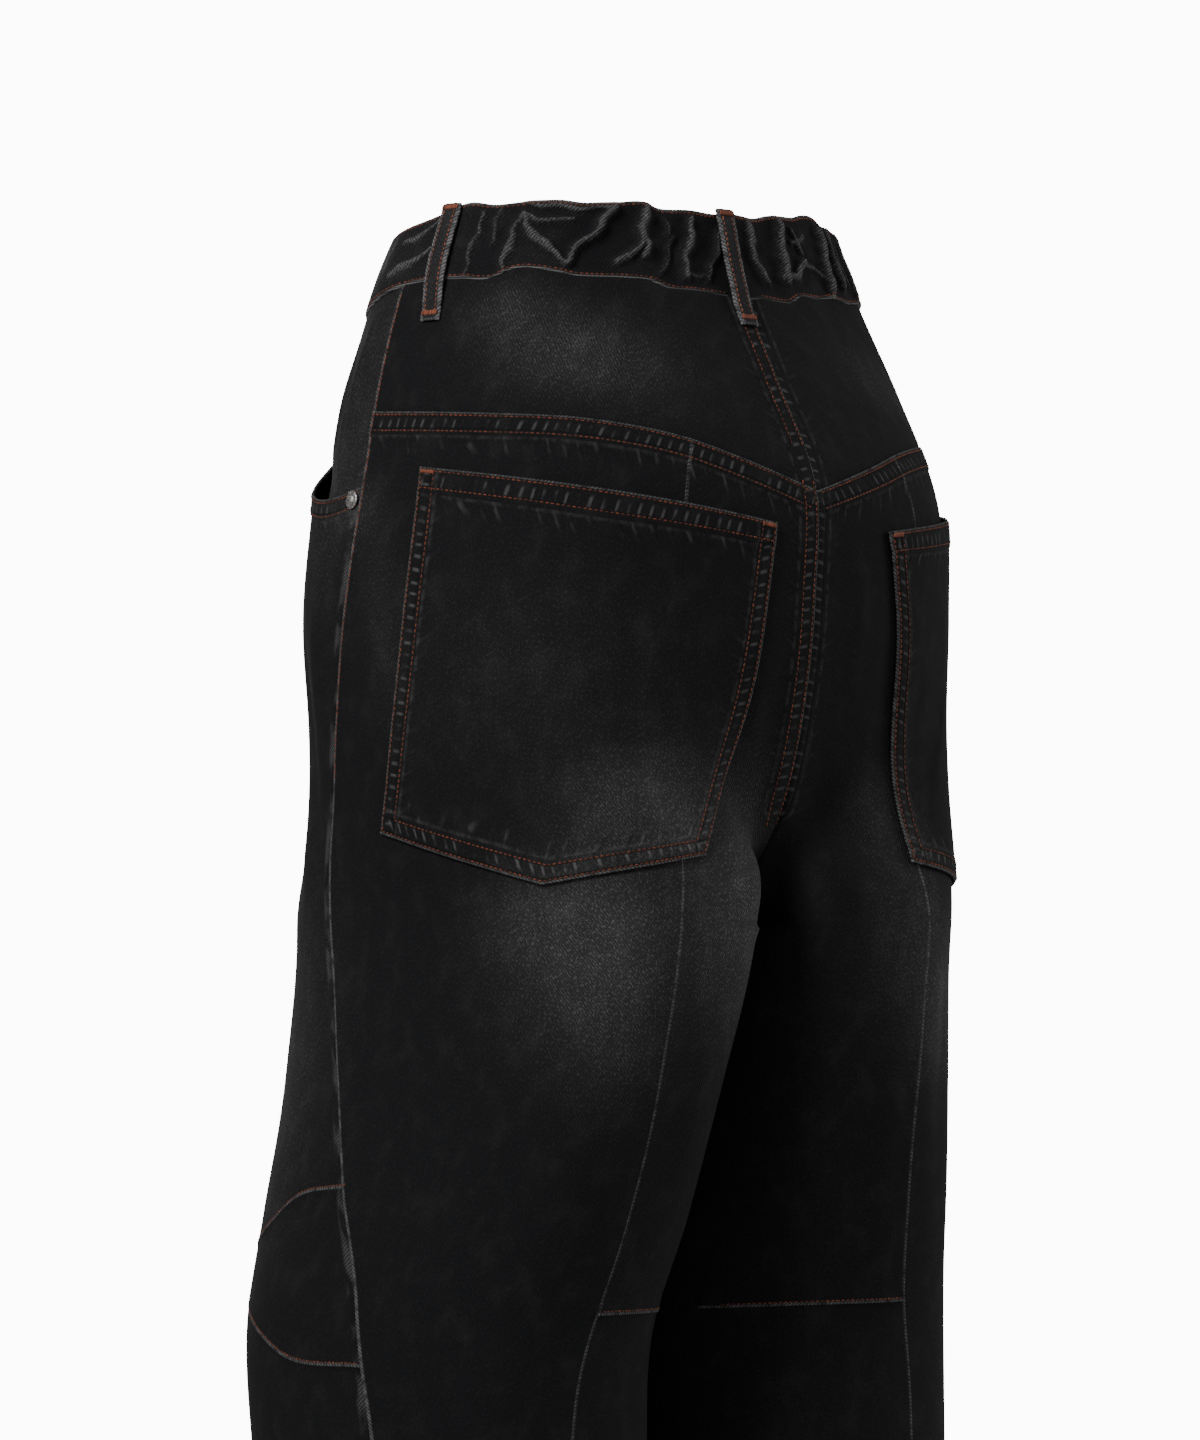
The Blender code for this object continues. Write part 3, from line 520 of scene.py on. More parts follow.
def seamStrip(g, light, height, distance, run, worn, wide, strength, tailed):
    pace = 2 * math.pi / (denim["ropePitch"] * mm)
    drift = g.noise(g.vector(run * 45, 7.0, 1.0), 1.0, 0.5)
    chance = g.noise(g.vector(run * 110, distance * 70, 5.0), 2.0, 0.6)
    dash = g.smooth((run * pace + distance * 230 + drift * 7).wave(), 0.30, 0.98)
    inside = g.between(distance, wide * 0.26, wide * 0.46, wide * 0.66, wide * 0.84)
    rope = dash * inside * g.smooth(chance, 0.34, 0.60)
    below = g.between(distance, wide, wide + 0.5 * mm, wide + 0.9 * mm, wide + 2.6 * mm)
    dusty = below * g.smooth(worn, 0.34, 0.66)
    tails = g.between(distance, wide, wide + 1.5 * mm, wide + 3 * mm, wide + 11 * mm)
    tail = g.smooth((run * pace * 0.62 - distance * 330 + drift * 12).wave(), 0.55, 1.0) * tails
    light = light + rope * 0.26 * strength + dusty * 0.11 * strength
    light = light + tail * g.smooth(chance, 0.42, 0.66) * tailed * strength
    # painted shade: along the two stitch rows the cloth is darkened by half, as well as sunk in the bump, for
    # the groove the thread pulls in
    rows = g.between(distance, 0.9 * mm, 1.6 * mm, 1.9 * mm, 2.7 * mm)
    rows = rows + g.between(distance, wide - 3.4 * mm, wide - 2.7 * mm, wide - 2.3 * mm, wide - 1.5 * mm)
    return light * (1 - rows * 0.5), height + rope * 2.0 + tail - rows * 1.3


# grids on the cloth: key lines down and across, each with the spacing to the next

def spread(keys, at):
    places = []
    for k, (line, size) in enumerate(keys[:-1]):
        span = abs(float(np.mean(keys[k + 1][0](at) - line(at))))
        count = max(1, int(round(span / (size * mm * (coarse if size > 1.2 else 1)))))
        places += [k + t for t in np.linspace(0, 1, count, endpoint=False)]
    return np.array(places + [len(keys) - 1.0])


def blendKeys(keys, places, at):               # at has a row for each place
    lines = np.stack([line(at) + np.zeros_like(at) for line, size in keys])
    k = np.minimum(places.astype(int), len(keys) - 2)
    t = (places - k)[:, None]
    rows = np.arange(len(places))
    return lines[k, rows] * (1 - t) + lines[k + 1, rows] * t


def layGrid(rowKeys, columnKeys, middleA, middleZ):
    down = spread(rowKeys, np.linspace(*middleA, 9) * mm)
    across = spread(columnKeys, np.linspace(*middleZ, 9) * mm)
    z = np.full((len(down), len(across)), -300 * mm)
    for _ in range(9):
        a = blendKeys(columnKeys, across, z.T).T
        z = blendKeys(rowKeys, down, a)
    return a, z


def level(height):
    return lambda a: a * 0 + height * mm


def offset(line, by):
    return lambda at: line(at) + by * mm


def strip(distance, width, rise):
    return rise * mm * (1 - rampMm(width - 0.1, width + 0.7, distance))


def ropes(run, distance, width, pitch=5.7, rise=0.14):
    phase = run / (pitch * mm) * 2 * math.pi + distance * 480 + np.sin(run * 70) * 1.5
    inside = rampMm(1.5, 3, distance) * (1 - rampMm(width - 2, width, distance))
    return rise * mm * np.sin(phase) * inside


def dress(piece, node, finish, cut):
    piece.data.materials.append(finish)
    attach(piece, "root")
    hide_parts(node)
    area = sum(face.area for face in piece.data.polygons) / 2
    flat = cut["flat"]
    print(f"{piece.name}: {area:.4f} m2 of cloth, cut {flat[0]:.3f} x {flat[1]:.3f}")


# hems and darts

hemRows = [(level(bottom + jeans["hem"] + 0.8), 0.8), (level(bottom + jeans["hem"]), 2.5),
           (level(bottom + 1.5), 0.5), (level(bottom), 1)]
hemEdge = ("edgeLow", "u", jeans["hem"], 0.8, 1.3)


def hemForm(z):
    edge = bottom + jeans["hem"]
    return jeans["hemRise"] * mm * rampMm(edge + 0.7, edge - 0.1, z) + edgeRoll(z - bottom * mm, 0.5)


dart = {"lip": 9, "rise": 1.0, "upper": 110, "lower": 120, "back": 110}


def dartFold(z, line, along, length):
    over = (z - line) / (dart["lip"] * mm)
    fold = np.where((over > -0.01) & (over < 1), np.clip(1 - over, 0, 2) ** 1.3, 0)
    return dart["rise"] * mm * fold * np.sqrt(np.clip(1 - along / (length * mm), 0, 1))


def dartDistance(z, line, along, length):
    return np.where((z - line > -0.1 * mm) & (along < length * mm), z - line, farOff)


# fronts

front = {
    "mouthEnd": -108, "mouthLow": -137, "mouthRound": 2.6, "mouthHem": 10, "mouthLift": 6.2,
    "mouthSag": 6.3, "felled": 0.6, "size": 3.6,
    "upper": ((0, -474), (42, -481), (62, -492), (110, -512)),
    "lower": ((0, -558), (49, -556), (79, -546), (120, -532)),
    "cut": {"flat": (0.345, 0.985), "area": 0.275},
}
mouthEnd = front["mouthEnd"] * mm
upperFrom, lowerFrom = [float(sideSeam(np.array(height * mm))) for height in (-481, -556)]
upperDart, lowerDart = curveOf(front["upper"]), curveOf(front["lower"])


def upperLine(a):
    return upperDart(upperFrom - a)


def lowerLine(a):
    return lowerDart(lowerFrom - a)


def mouthLine(a, side):
    along = np.clip((a - mouthEnd) / (-2 * mm - mouthEnd), 0, 1)
    drop = (1 - (1 - along) ** front["mouthRound"]) ** (1 / front["mouthRound"])
    top = bandBottom(a, side) - 0.5 * mm
    sag = front["mouthSag"] * mm * np.clip(np.sin(math.pi * along**1.8), 0, 1) ** 1.2
    return top + (front["mouthLow"] * mm - top) * drop - sag


def frontTop(a, side):
    return np.where(a > mouthEnd, mouthLine(a, side), bandBottom(a, side) - 0.5 * mm)


def mouthForm(a, z, side):
    along = np.clip((a - mouthEnd) / -mouthEnd, 0, 1)
    below = frontTop(a, side) - z
    gape = np.clip(np.sin(math.pi * along), 0, 1) ** 1.6 * np.exp(-below / (35 * mm))
    near = ramp(mouthEnd - 2 * mm, mouthEnd + 6 * mm, a)
    return front["mouthLift"] * mm * gape + strip(below, front["mouthHem"], front["felled"]) * near


def frontForm(a, z, side):
    inward = sideSeam(z) - a
    lift = mouthForm(a, z, side) + hemForm(z)
    lift = lift + dartFold(z, upperLine(a), inward, dart["upper"])
    lift = lift + dartFold(z, lowerLine(a), inward, dart["lower"])
    lift = lift + edgeRoll(inward, 0.7, 1.6) + edgeRoll(frontTop(a, side) - z, 0.4)
    return lift + edgeRoll(a + frontReach(z), 0.5, 1.2)


def frontCloth(name, side):
    size = front["size"]
    inside = mouthEnd - 4 * mm                 # beyond the mouth, the top goes up behind the band
    top = lambda a: frontTop(a, side) + 1.2 * mm * ramp(inside, inside - 2 * mm, a)
    rows = [(top, 0.5), (offset(top, -1), 1.3), (offset(top, -9.8), 0.8), (offset(top, -10.8), size),
            (level(-235), size), (offset(upperLine, 9), 2), (upperLine, 0.7), (offset(upperLine, -0.7), size),
            (offset(lowerLine, 9), 2), (lowerLine, 0.7), (offset(lowerLine, -0.7), size)] + hemRows
    left = lambda z: seam - frontReach(z)
    right = lambda z: sideSeam(z) - seam
    columns = [(left, 0.7), (offset(left, 1.4), size), (offset(right, -6), 1.5), (offset(right, -1.5), 0.5),
               (right, 1)]
    a, z = layGrid(rows, columns, (-150, -60), (-500, -400))
    inward = sideSeam(z) - a
    fields = {
        "edgeTop": frontTop(a, side) - z + np.where(a > mouthEnd, 0, farOff), "edgeSide": inward,
        "edgeCentre": a + frontReach(z) + np.where(z < jeans["fork"] * mm, farOff, 0),
        "edgeLow": z - bottom * mm, "fadeAndPaintedLight": fadeAndPaintedLightAt(a, z, side),
        "edgeDart": np.minimum(dartDistance(z, upperLine(a), inward, dart["upper"]),
                               dartDistance(z, lowerLine(a), inward, dart["lower"])),
    }
    return sheetMesh(name, cloth(a, z, frontForm(a, z, side), side), a, z, fields, side < 0)


frontFinish = denimFinish("frontDenim", (
    ("edgeTop", "u", 10, 0.8, 1.3), ("edgeSide", "v", 0, 1.0, 6.5), ("edgeCentre", "v", 0, 0.5, 1.3),
    hemEdge, ("edgeDart", "u", 0, 1.3, 1.8)))
for word, side in sides:
    dress(frontCloth(f"frontCloth_{word}", side), f"front_{word}", frontFinish, front["cut"])
print("fronts laid")


# back panels

back = {
    "strip": 11.0, "rise": 0.65, "size": 3.6, "onSeam": 4,
    "dart": ((0, -533), (60, -534), (110, -536)),
    "cutOuter": {"flat": (0.180, 0.925), "area": 0.125},
    "cutInner": {"flat": (0.215, 0.915), "area": 0.131},
}
backDart = curveOf(back["dart"])
backDartFrom = float(backSeam(np.array(-534 * mm)))


def backDartLine(a):
    return backDart(a - backDartFrom)


def backTop(a):
    return yokeSeam(a) - seam


def raisedStrip(run, distance):
    return strip(distance, back["strip"], back["rise"]) + ropes(run, distance, back["strip"])


def topStrip(a, z):
    below = backTop(a) - z
    return raisedStrip(a, below) + edgeRoll(below)


def centreStrip(a, z, side):                   # felled towards the left, so the right is flat
    inward = backReach(z) - a
    if side < 0:
        return edgeRoll(inward, 0.6, 1.2)
    return raisedStrip(z, inward) * rampMm(-310, -270, z) + edgeRoll(inward, 0.3)


def centreField(a, z, side):
    return backReach(z) - a + (0 if side > 0 else back["onSeam"] * mm)


def pressed(distance):
    return 0.6 * (0.45 * mm * hump(distance, 3.2) + edgeRoll(distance, 0.55, 0.8))


def outerForm(a, z, side):
    fromSide = a - sideSeam(z)
    lift = topStrip(a, z) + hemForm(z) + 0.6 * mm * (1 - rampMm(2, 6, fromSide))
    return lift + edgeRoll(fromSide, 0.3) + pressed(backSeam(z) - a)


def innerForm(a, z, side):
    inward = a - backSeam(z)
    lift = np.maximum(topStrip(a, z), centreStrip(a, z, side)) + hemForm(z)
    return lift + pressed(inward) + dartFold(z, backDartLine(a), inward, dart["back"])


def backRows(size, extra=()):
    return [(backTop, 0.5), (offset(backTop, -1), 1.2), (offset(backTop, -back["strip"]), 0.7),
            (offset(backTop, -back["strip"] - 0.8), size), (level(-235), size), *extra, *hemRows]


def centreColumns(left, size):
    right = lambda z: backReach(z) - seam
    return [(left, 0.5), (offset(left, 1.5), 1.5), (offset(left, 5), size),
            (offset(right, -back["strip"] - 0.8), 0.7), (offset(right, -back["strip"]), 1.3),
            (offset(right, -1), 0.5), (right, 1)]


def outerCloth(name, side):
    size = back["size"]
    left = lambda z: sideSeam(z) + seam
    right = lambda z: backSeam(z) - seam
    columns = [(left, 0.6), (offset(left, 1.2), 1.5), (offset(left, 7), size), (offset(right, -5), 1.5),
               (offset(right, -1.5), 0.5), (right, 1)]
    a, z = layGrid(backRows(size), columns, (40, 160), (-500, -300))
    fields = {"edgeTop": backTop(a) - z, "edgeSide": a - sideSeam(z), "edgeInner": backSeam(z) - a,
              "edgeLow": z - bottom * mm, "fadeAndPaintedLight": fadeAndPaintedLightAt(a, z, side)}
    return sheetMesh(name, cloth(a, z, outerForm(a, z, side), side), a, z, fields, side < 0)


def innerCloth(name, side):
    size = back["size"]
    fold = [(offset(backDartLine, 9), 2), (backDartLine, 0.7), (offset(backDartLine, -0.7), size)]
    columns = centreColumns(lambda z: backSeam(z) + seam, size)
    a, z = layGrid(backRows(size, fold), columns, (180, 240), (-500, -300))
    fields = {"edgeTop": backTop(a) - z, "edgeInner": a - backSeam(z),
              "edgeCentre": centreField(a, z, side) + farOff * rampMm(-290, -330, z),
              "edgeLow": z - bottom * mm, "fadeAndPaintedLight": fadeAndPaintedLightAt(a, z, side),
              "edgeDart": dartDistance(z, backDartLine(a), a - backSeam(z), dart["back"])}
    return sheetMesh(name, cloth(a, z, innerForm(a, z, side), side), a, z, fields, side < 0)


topEdge, centreEdge = ("edgeTop", "u", 11, 1.0, 1.3), ("edgeCentre", "v", 11, 1.0, 1.3)
outerFinish = denimFinish("backOuterDenim", (
    topEdge, ("edgeSide", "v", 0, 1.5, 2.6), ("edgeInner", "v", 0, 1.3, 1.3), hemEdge))
innerFinish = denimFinish("backInnerDenim", (
    topEdge, ("edgeInner", "v", 0, 0.5, 1.0), centreEdge, hemEdge, ("edgeDart", "u", 0, 1.2, 1.6)))
for word, side in sides:
    dress(outerCloth(f"backOuterCloth_{word}", side), f"back_outer_{word}", outerFinish,
          back["cutOuter"])
    dress(innerCloth(f"backInnerCloth_{word}", side), f"back_inner_{word}", innerFinish,
          back["cutInner"])
print("back panels laid")


# yoke, tucked under the band above and the panels below

yoke = {"size": 2.6, "cut": {"flat": (0.256, 0.100), "area": 0.0183}}


def yokeForm(a, z, side):
    fromSide = a - sideSeam(z)
    tuck = -0.5 * mm * rampMm(-1, 1, z - bandBottom(a, side))
    lift = np.maximum(centreStrip(a, z, side), 0) + tuck + edgeRoll(z - yokeSeam(a), 0.5, 1.2)
    return lift + edgeRoll(fromSide, 0.3) + 0.5 * mm * (1 - rampMm(2, 6, fromSide))


def yokeCloth(name, side):
    top = lambda a: bandBottom(a, side) + 1.2 * mm
    low = offset(yokeSeam, -0.3)
    rows = [(top, yoke["size"]), (offset(low, 3), 1.0), (low, 1)]
    columns = centreColumns(lambda z: sideSeam(z) + seam, yoke["size"])
    a, z = layGrid(rows, columns, (60, 180), (-90, -60))
    fields = {"edgeSide": a - sideSeam(z), "edgeCentre": centreField(a, z, side), "fadeAndPaintedLight": fadeAndPaintedLightAt(a, z, side)}
    return sheetMesh(name, cloth(a, z, yokeForm(a, z, side), side), a, z, fields, side < 0)


yokeFinish = denimFinish("yokeDenim", (("edgeSide", "v", 0, 1.5, 2.2), centreEdge))
for word, side in sides:
    dress(yokeCloth(f"yokeCloth_{word}", side), f"yoke_{word}", yokeFinish, yoke["cut"])
print("yoke laid")


# waistband; a crease has its width and height, then its course as places round from the side and levels

band = {
    "rise": 1.2, "wall": 2.6, "base": -1.5, "gain": 1.55, "size": 1.0, "frontSize": 1.4,
    "backHigh": 36, "backHalf": 171, "frontHigh": 40, "frontRound": 165,
    "cut": {"flat": (0.435, 0.041), "area": 0.0172},
    "cutFront": {"flat": (0.192, 0.041), "area": 0.0078},
    # lighter rubbed places: side, a, z, half width, half height, strength
    "rubbed": (
        (1, 66, -23, 13, 11, 0.62), (1, 72, -3, 16, 4, 0.50), (1, 121, -28, 15, 6, 0.50),
        (1, 118, -4, 6, 5, 0.40), (1, 4, -32, 20, 6, 0.50), (1, 2, -16, 12, 5, 0.35),
        (1, 148, -10, 8, 8, 0.25), (1, 96, -4, 6, 5, 0.40), (-1, 133, -27, 15, 7, 0.50),
        (-1, 121, -8, 10, 7, 0.42), (-1, 158, -12, 7, 14, 0.35), (-1, 100, -22, 8, 10, 0.30),
        (0, -40, -26, 22, 14, 0.34), (0, -90, -26, 26, 14, 0.26)),
    "left": (
        (1.8, 2.0, (-16, -31), (0, -27), (13, -21)), (1.7, 1.6, (-12, -15), (-2, -15), (6, -10), (13, -4)),
        (1.9, 1.3, (37, -4), (36.5, -18), (38, -35)), (2.2, 1.2, (55.5, -5), (54.5, -19), (56, -33)),
        (1.8, 1.7, (56, -6), (65, -15), (76, -23), (86, -30.5)),
        (2.0, 2.9, (86, -30.5), (88, -22.5), (93.5, -16.5), (96, -11), (99, 0)),
        (1.7, 1.2, (56, -5), (64, -8), (73, -8.7), (81, -7)),
        (1.6, 1.2, (57, 0), (70, -0.5), (84, -2), (97, -1)),
        (2.3, 2.5, (117, 1), (116, -5), (118, -12), (124, -18), (124, -23)),
        (1.9, 2.2, (121, -17), (116, -25), (112, -29)), (1.6, 1.0, (128, -5), (133, -13)),
        (2.2, 2.1, (143.5, -3), (147, -17), (147.5, -24), (151, -35)),
        (1.5, 1.0, (151, -32), (157, -33), (163, -31)), (2.0, 1.3, (163, -4), (166, -20), (165, -34)),
        (1.7, 1.0, (136, -14), (138, -25), (136, -35)), (2.4, 1.8, (-30, -14), (-34, -32)),
        (2.0, 1.4, (-22, -12), (-25, -29)), (2.0, 1.0, (44, -2), (46, -20))),
    "right": (
        (2.4, 1.9, (157, -2), (164, -13), (168, -24), (169, -33)),
        (2.6, 2.5, (134, 1), (141, -12), (149.5, -25.5), (152, -31)),
        (1.5, 1.0, (115, -5), (123, -7.5), (130, -10)),
        (1.8, 2.1, (155, -29), (147, -28), (140, -26), (132, -21), (128, -18.5)),
        (1.6, 1.4, (132, -21), (122, -20), (117, -23), (114, -27)),
        (2.1, 2.7, (98, 0), (103, -9.5), (107, -17.5), (112.5, -27), (117, -35)),
        (2.3, 2.3, (90, 0), (93.5, -14), (97, -28)), (1.5, 1.2, (125, -2), (124, -9), (127, -15)),
        (2.8, 2.0, (70, 0), (73, -18), (78, -32)), (2.6, 2.0, (50, -2), (56, -20), (54, -33)),
        (2.2, 1.8, (34, -4), (38, -16), (38, -30)), (1.9, 1.8, (-15, -31), (0, -27), (14, -22)),
        (1.7, 1.4, (-10, -14), (0, -14), (12, -5)), (1.8, 1.2, (80, -3), (84, -14), (82, -26)),
        (1.8, 1.2, (60, -6), (66, -22), (66, -34)), (2.2, 1.6, (-30, -14), (-34, -32))),
}


def creases(a, z, side, spreadBy=1.0):
    wiggle = 0.9 * np.sin(z / (2.6 * mm) + a / (9 * mm)) + 0.4 * np.sin(z / (1.3 * mm) - a / (4 * mm))
    a = a + wiggle * mm
    z = z + 0.6 * mm * np.sin(a / (3.1 * mm))
    out = np.zeros(np.broadcast(a, z).shape)
    for width, height, *path in band["left"] if side > 0 else band["right"]:
        best = np.full(out.shape, 1.0)
        length = sum(math.dist(*ends) for ends in zip(path, path[1:]))
        done = 0.0
        for (a0, z0), (a1, z1) in zip(path, path[1:]):
            da, dz = (a1 - a0) * mm, (z1 - z0) * mm
            span = math.hypot(da, dz)
            t = np.clip(((a - a0 * mm) * da + (z - z0 * mm) * dz) / span**2, 0, 1)
            far = np.hypot(a - a0 * mm - t * da, z - z0 * mm - t * dz)
            along = (done + t * span / mm) / length
            best = np.minimum(best, far / (0.72 + 0.28 * np.sin(math.pi * along)))
            done += span / mm
        out = np.maximum(out, height * hump(best, width * spreadBy))
    return out * mm


def rubbedAt(a, z, side):
    out = np.zeros(np.broadcast(a, z).shape)
    for only, a0, z0, wide, high, strength in band["rubbed"]:
        if only * side >= 0:
            u, v = (a - a0 * mm) / (wide * mm), (z - z0 * mm) / (high * mm)
            out = np.maximum(out, strength * np.exp(-(u**2 + v**2) ** 1.5 * 0.8))
    return out


def bandWearAndShade(a, z, side):
    crisp = creases(a, z, side, 0.50) / (2.1 * mm)
    halo = creases(a, z, side, 1.7) / (2.3 * mm)
    low = bandForm(a, z, side) - band["rise"] * mm
    # painted shade: where the band lies low between its creases the field goes below zero, which darkens the
    # cloth there
    hollow = np.clip(-low / (1.6 * mm), 0, 1) * (1 - np.clip(crisp * 2, 0, 1))
    return np.clip(crisp + 0.30 * halo + rubbedAt(a, z, side) - hollow * 0.9, -1, 1.3)


def bandForm(a, z, side):
    below, above = bandTop(a, side) - z, z - bandBottom(a, side)
    rise = creases(a, z, side) * 0.75 + creases(a, z, side, 1.7) * 0.35
    fine = np.sin(a / (2.9 * mm) + 1.7 * np.sin(z / (5 * mm))) * 0.16 * mm
    form = band["base"] * mm + rise * band["gain"] + fine
    loopHere = np.exp(-((a - 24 * mm) / (11 * mm)) ** 2 * 1.2)
    centre = hump(backReach(z) - a, 9)
    form = form * (1 - np.maximum(loopHere * 0.8, centre * 0.7)) * rampMm(-26, 34, a)
    rows = hump(below - 1.8 * mm, 1.1) + hump(above - 1.8 * mm, 1.1)
    calm = (rampMm(0, 6, below) * 0.45 + 0.55) * (rampMm(0, 5, above) * 0.5 + 0.5)
    edge = edgeRoll(below, 0.8, 1.1) + edgeRoll(above, 0.9, 1.0)
    return band["rise"] * mm + form * calm - rows * 0.3 * mm + edge


def bandFields(a, z, side, base):
    worn = bandWearAndShade(a, z, side)
    return {"edgeTop": bandTop(a, side) - z, "edgeLow": z - bandBottom(a, side), "worn": worn,
            "fadeAndPaintedLight": base + 0.12 * np.clip(worn, 0, 1)}


def bandBackCloth():
    high = band["backHigh"]
    down = [0, 0.5, 1.1, 1.8] + steps(2.6, high - 2.6, band["size"]) + [high - k for k in (1.8, 1.1, 0.5, 0)]
    share, v = np.meshgrid(steps(-1, 1, band["size"] / band["backHalf"]), np.array(down) / high)
    z = np.full(share.shape, -20 * mm)
    for _ in range(6):
        x = share * (backReach(z) - seam)
        a = backReach(z) - np.abs(x)
        edges = [np.where(x > 0, edge(a, 1), edge(a, -1)) for edge in (bandTop, bandBottom)]
        z = edges[0] + (edges[1] - edges[0]) * v
    form = np.where(x > 0, bandForm(a, z, 1), bandForm(a, z, -1))
    left, right = bandFields(a, z, 1, 0.06), bandFields(a, z, -1, 0.06)
    fields = {key: np.where(x > 0, left[key], right[key]) for key in left}
    return sheetMesh("bandBackCloth", centreCloth(x, z, form, 1), x, z, fields, True, band["wall"])


def bandFrontCloth(name, side):
    high, size = band["frontHigh"], band["frontSize"]
    down = [0, 0.5, 1.2, 2.0] + steps(3, high - 3, size) + [high - k for k in (2, 1.2, 0.5, 0)]
    across = [-1, -0.993] + steps(-0.985, -0.01, size / band["frontRound"]) + [-0.004, 0]
    share, v = np.meshgrid(across, np.array(down) / high)
    z = np.full(share.shape, -20 * mm)
    for _ in range(6):
        a = share * (frontReach(z) - seam) - seam
        z = bandTop(a, side) + (bandBottom(a, side) - bandTop(a, side)) * v
    points = cloth(a, z, bandForm(a, z, side), side, folded=False)
    return sheetMesh(name, points, a, z, bandFields(a, z, side, 0.09), side < 0, band["wall"])


bandFinish = denimFinish("bandDenim", (("edgeTop", "u", 0, 1.5, 1.5), ("edgeLow", "u", 0, 1.7, 1.5)),
                         turned=True, ridges=1.0)
dress(bandBackCloth(), "waistband_back", bandFinish, band["cut"])
for word, side in sides:
    dress(bandFrontCloth(f"bandFrontCloth_{word}", side), f"waistband_front_{word}",
          bandFinish, band["cutFront"])
print("waistband laid")


# back pockets: outer top, inner top, inner low, tip, outer low, then how far the sides bow, in mm

pocket = {
    "lay": 1.0, "hem": 13, "hemRise": 0.5, "gape": 1.3, "size": 2.2, "width": 186, "high": 182, "slope": 0.97,
    "left": ((39, -130), (225, -156), (184, -316), (99, -330), (5, -304), 9),
    "right": ((21, -131), (203, -156), (176, -317), (90, -331), (-3, -305), -4),
    "folds": (
        (1, 60, -205, 14, 60, 8, 1.0), (1, 104, -190, -6, 70, 9, 1.1), (1, 150, -210, 8, 80, 9, -0.9),
        (1, 128, -255, -24, 60, 9, 0.9), (1, 176, -250, 18, 60, 8, 0.9), (1, 84, -280, 30, 50, 8, -0.8),
        (1, 44, -262, 10, 50, 7, 0.8), (-1, 188, -210, 6, 60, 7, 1.0), (-1, 166, -250, -4, 70, 8, -0.9),
        (-1, 130, -220, 8, 70, 9, 1.0), (-1, 90, -240, -10, 70, 9, 0.9), (-1, 50, -250, 8, 60, 9, -0.9)),
    "cut": {"flat": (0.188, 0.190), "area": 0.0338},
}


def tipShare(word):
    inLow, tip, outLow = pocket[word][2:5]
    return (tip[0] - outLow[0]) / (inLow[0] - outLow[0])


def pocketPlace(word, u, v):
    outTop, inTop, inLow, tip, outLow, bow = [np.array(k) * mm for k in pocket[word]]
    top = outTop[1] + (inTop[1] - outTop[1]) * u
    low = np.interp(u, (0, tipShare(word), 1), (outLow[1], tip[1], inLow[1]))
    left = outTop[0] + (outLow[0] - outTop[0]) * v
    right = inTop[0] + (inLow[0] - inTop[0]) * v
    return left + (right - left) * u + bow * 4 * v * (1 - v), top + (low - top) * v


def pocketSpans(u, v):                         # how far from the top, both sides and the low edge
    width, high = pocket["width"] * pocket["slope"] * mm, pocket["high"] * mm
    return v * high, u * width, (1 - u) * width, (1 - v) * high


def pocketLift(side, u, v, a, z):
    fromTop, fromLeft, fromRight, fromLow = pocketSpans(u, v)
    fromSide = np.minimum(fromLeft, fromRight)
    rim = np.minimum(fromSide, fromLow)
    lift = (pocket["lay"] + jeans["wall"]) * mm + strip(fromTop, pocket["hem"], pocket["hemRise"])
    lift = lift + pocket["gape"] * mm * np.sin(math.pi * u) * np.exp(-fromTop / (35 * mm))
    inner = rampMm(6, 26, rim) * rampMm(0, 12, fromTop)
    lift = lift + laidFolds(a, z, side, pocket["folds"]) * inner
    lift = lift + 0.35 * mm * (1 - rampMm(11, 12, rim)) * rampMm(8, 16, fromTop)
    lift = lift + ropes(a, fromTop, pocket["hem"]) + ropes(a, fromLow, 11, 5.7, 0.2)
    lift = lift + ropes(z, fromSide, 10, 6.5, 0.12)
    return lift + edgeRoll(np.minimum(rim, fromTop), 0.7, 1.0)


def pocketCloth(name, word, side):
    size, width, high = pocket["size"], pocket["width"], pocket["high"]
    across = [0, 0.5, 1.2, 2] + steps(3, width - 3, size) + [width - k for k in (2, 1.2, 0.5, 0)]
    down = [0, 0.5, 1.2, 2] + steps(3, 12.6, 1.3) + steps(13.6, high - 4, size)
    down += [high - k for k in (3, 2, 1, 0.4, 0)]
    u, v = np.meshgrid(np.array(across) / width, np.array(down) / high)
    a, z = pocketPlace(word, u, v)
    fields = dict(zip(("edgeTop", "edgeLeft", "edgeRight", "edgeLow"), pocketSpans(u, v)),
                  fadeAndPaintedLight=fadeAndPaintedLightAt(a, z, side))
    return sheetMesh(name, cloth(a, z, pocketLift(side, u, v, a, z), side), a, z, fields, side < 0)


pocketFinish = denimFinish("pocketDenim", (
    ("edgeTop", "u", 13, 1.0, 1.3), ("edgeLeft", "v", 10, 1.2, 1.6), ("edgeRight", "v", 10, 1.1, 1.5),
    ("edgeLow", "u", 11, 1.3, 1.5)))
for word, side in sides:
    dress(pocketCloth(f"pocketCloth_{word}", word, side), f"pocket_back_{word}",
          pocketFinish, pocket["cut"])
print("back pockets laid")


# cloth behind the hand pockets and the fly

facing = {
    "below": 30, "beyond": 14, "behind": -2.0, "near": -0.3, "paintedLight": 0.18, "size": 1.6,
    "width": 122, "high": 118,
    "folds": (
        (0, -22, -84, 4, 42, 3.6, 2.0), (0, -38, -92, -3, 46, 3.8, -1.6), (0, -50, -96, 3, 44, 3.6, 1.8),
        (0, -12, -92, 6, 40, 2.8, -1.4), (0, -66, -84, -6, 34, 3.8, -1.2),
        (0, -31, -104, 2, 38, 2.6, 1.5), (0, -6, -112, 4, 26, 2.4, 1.2)),
    "cut": {"flat": (0.128, 0.125), "area": 0.0126}, "shield": {"flat": (0.038, 0.115), "area": 0.0043},
}


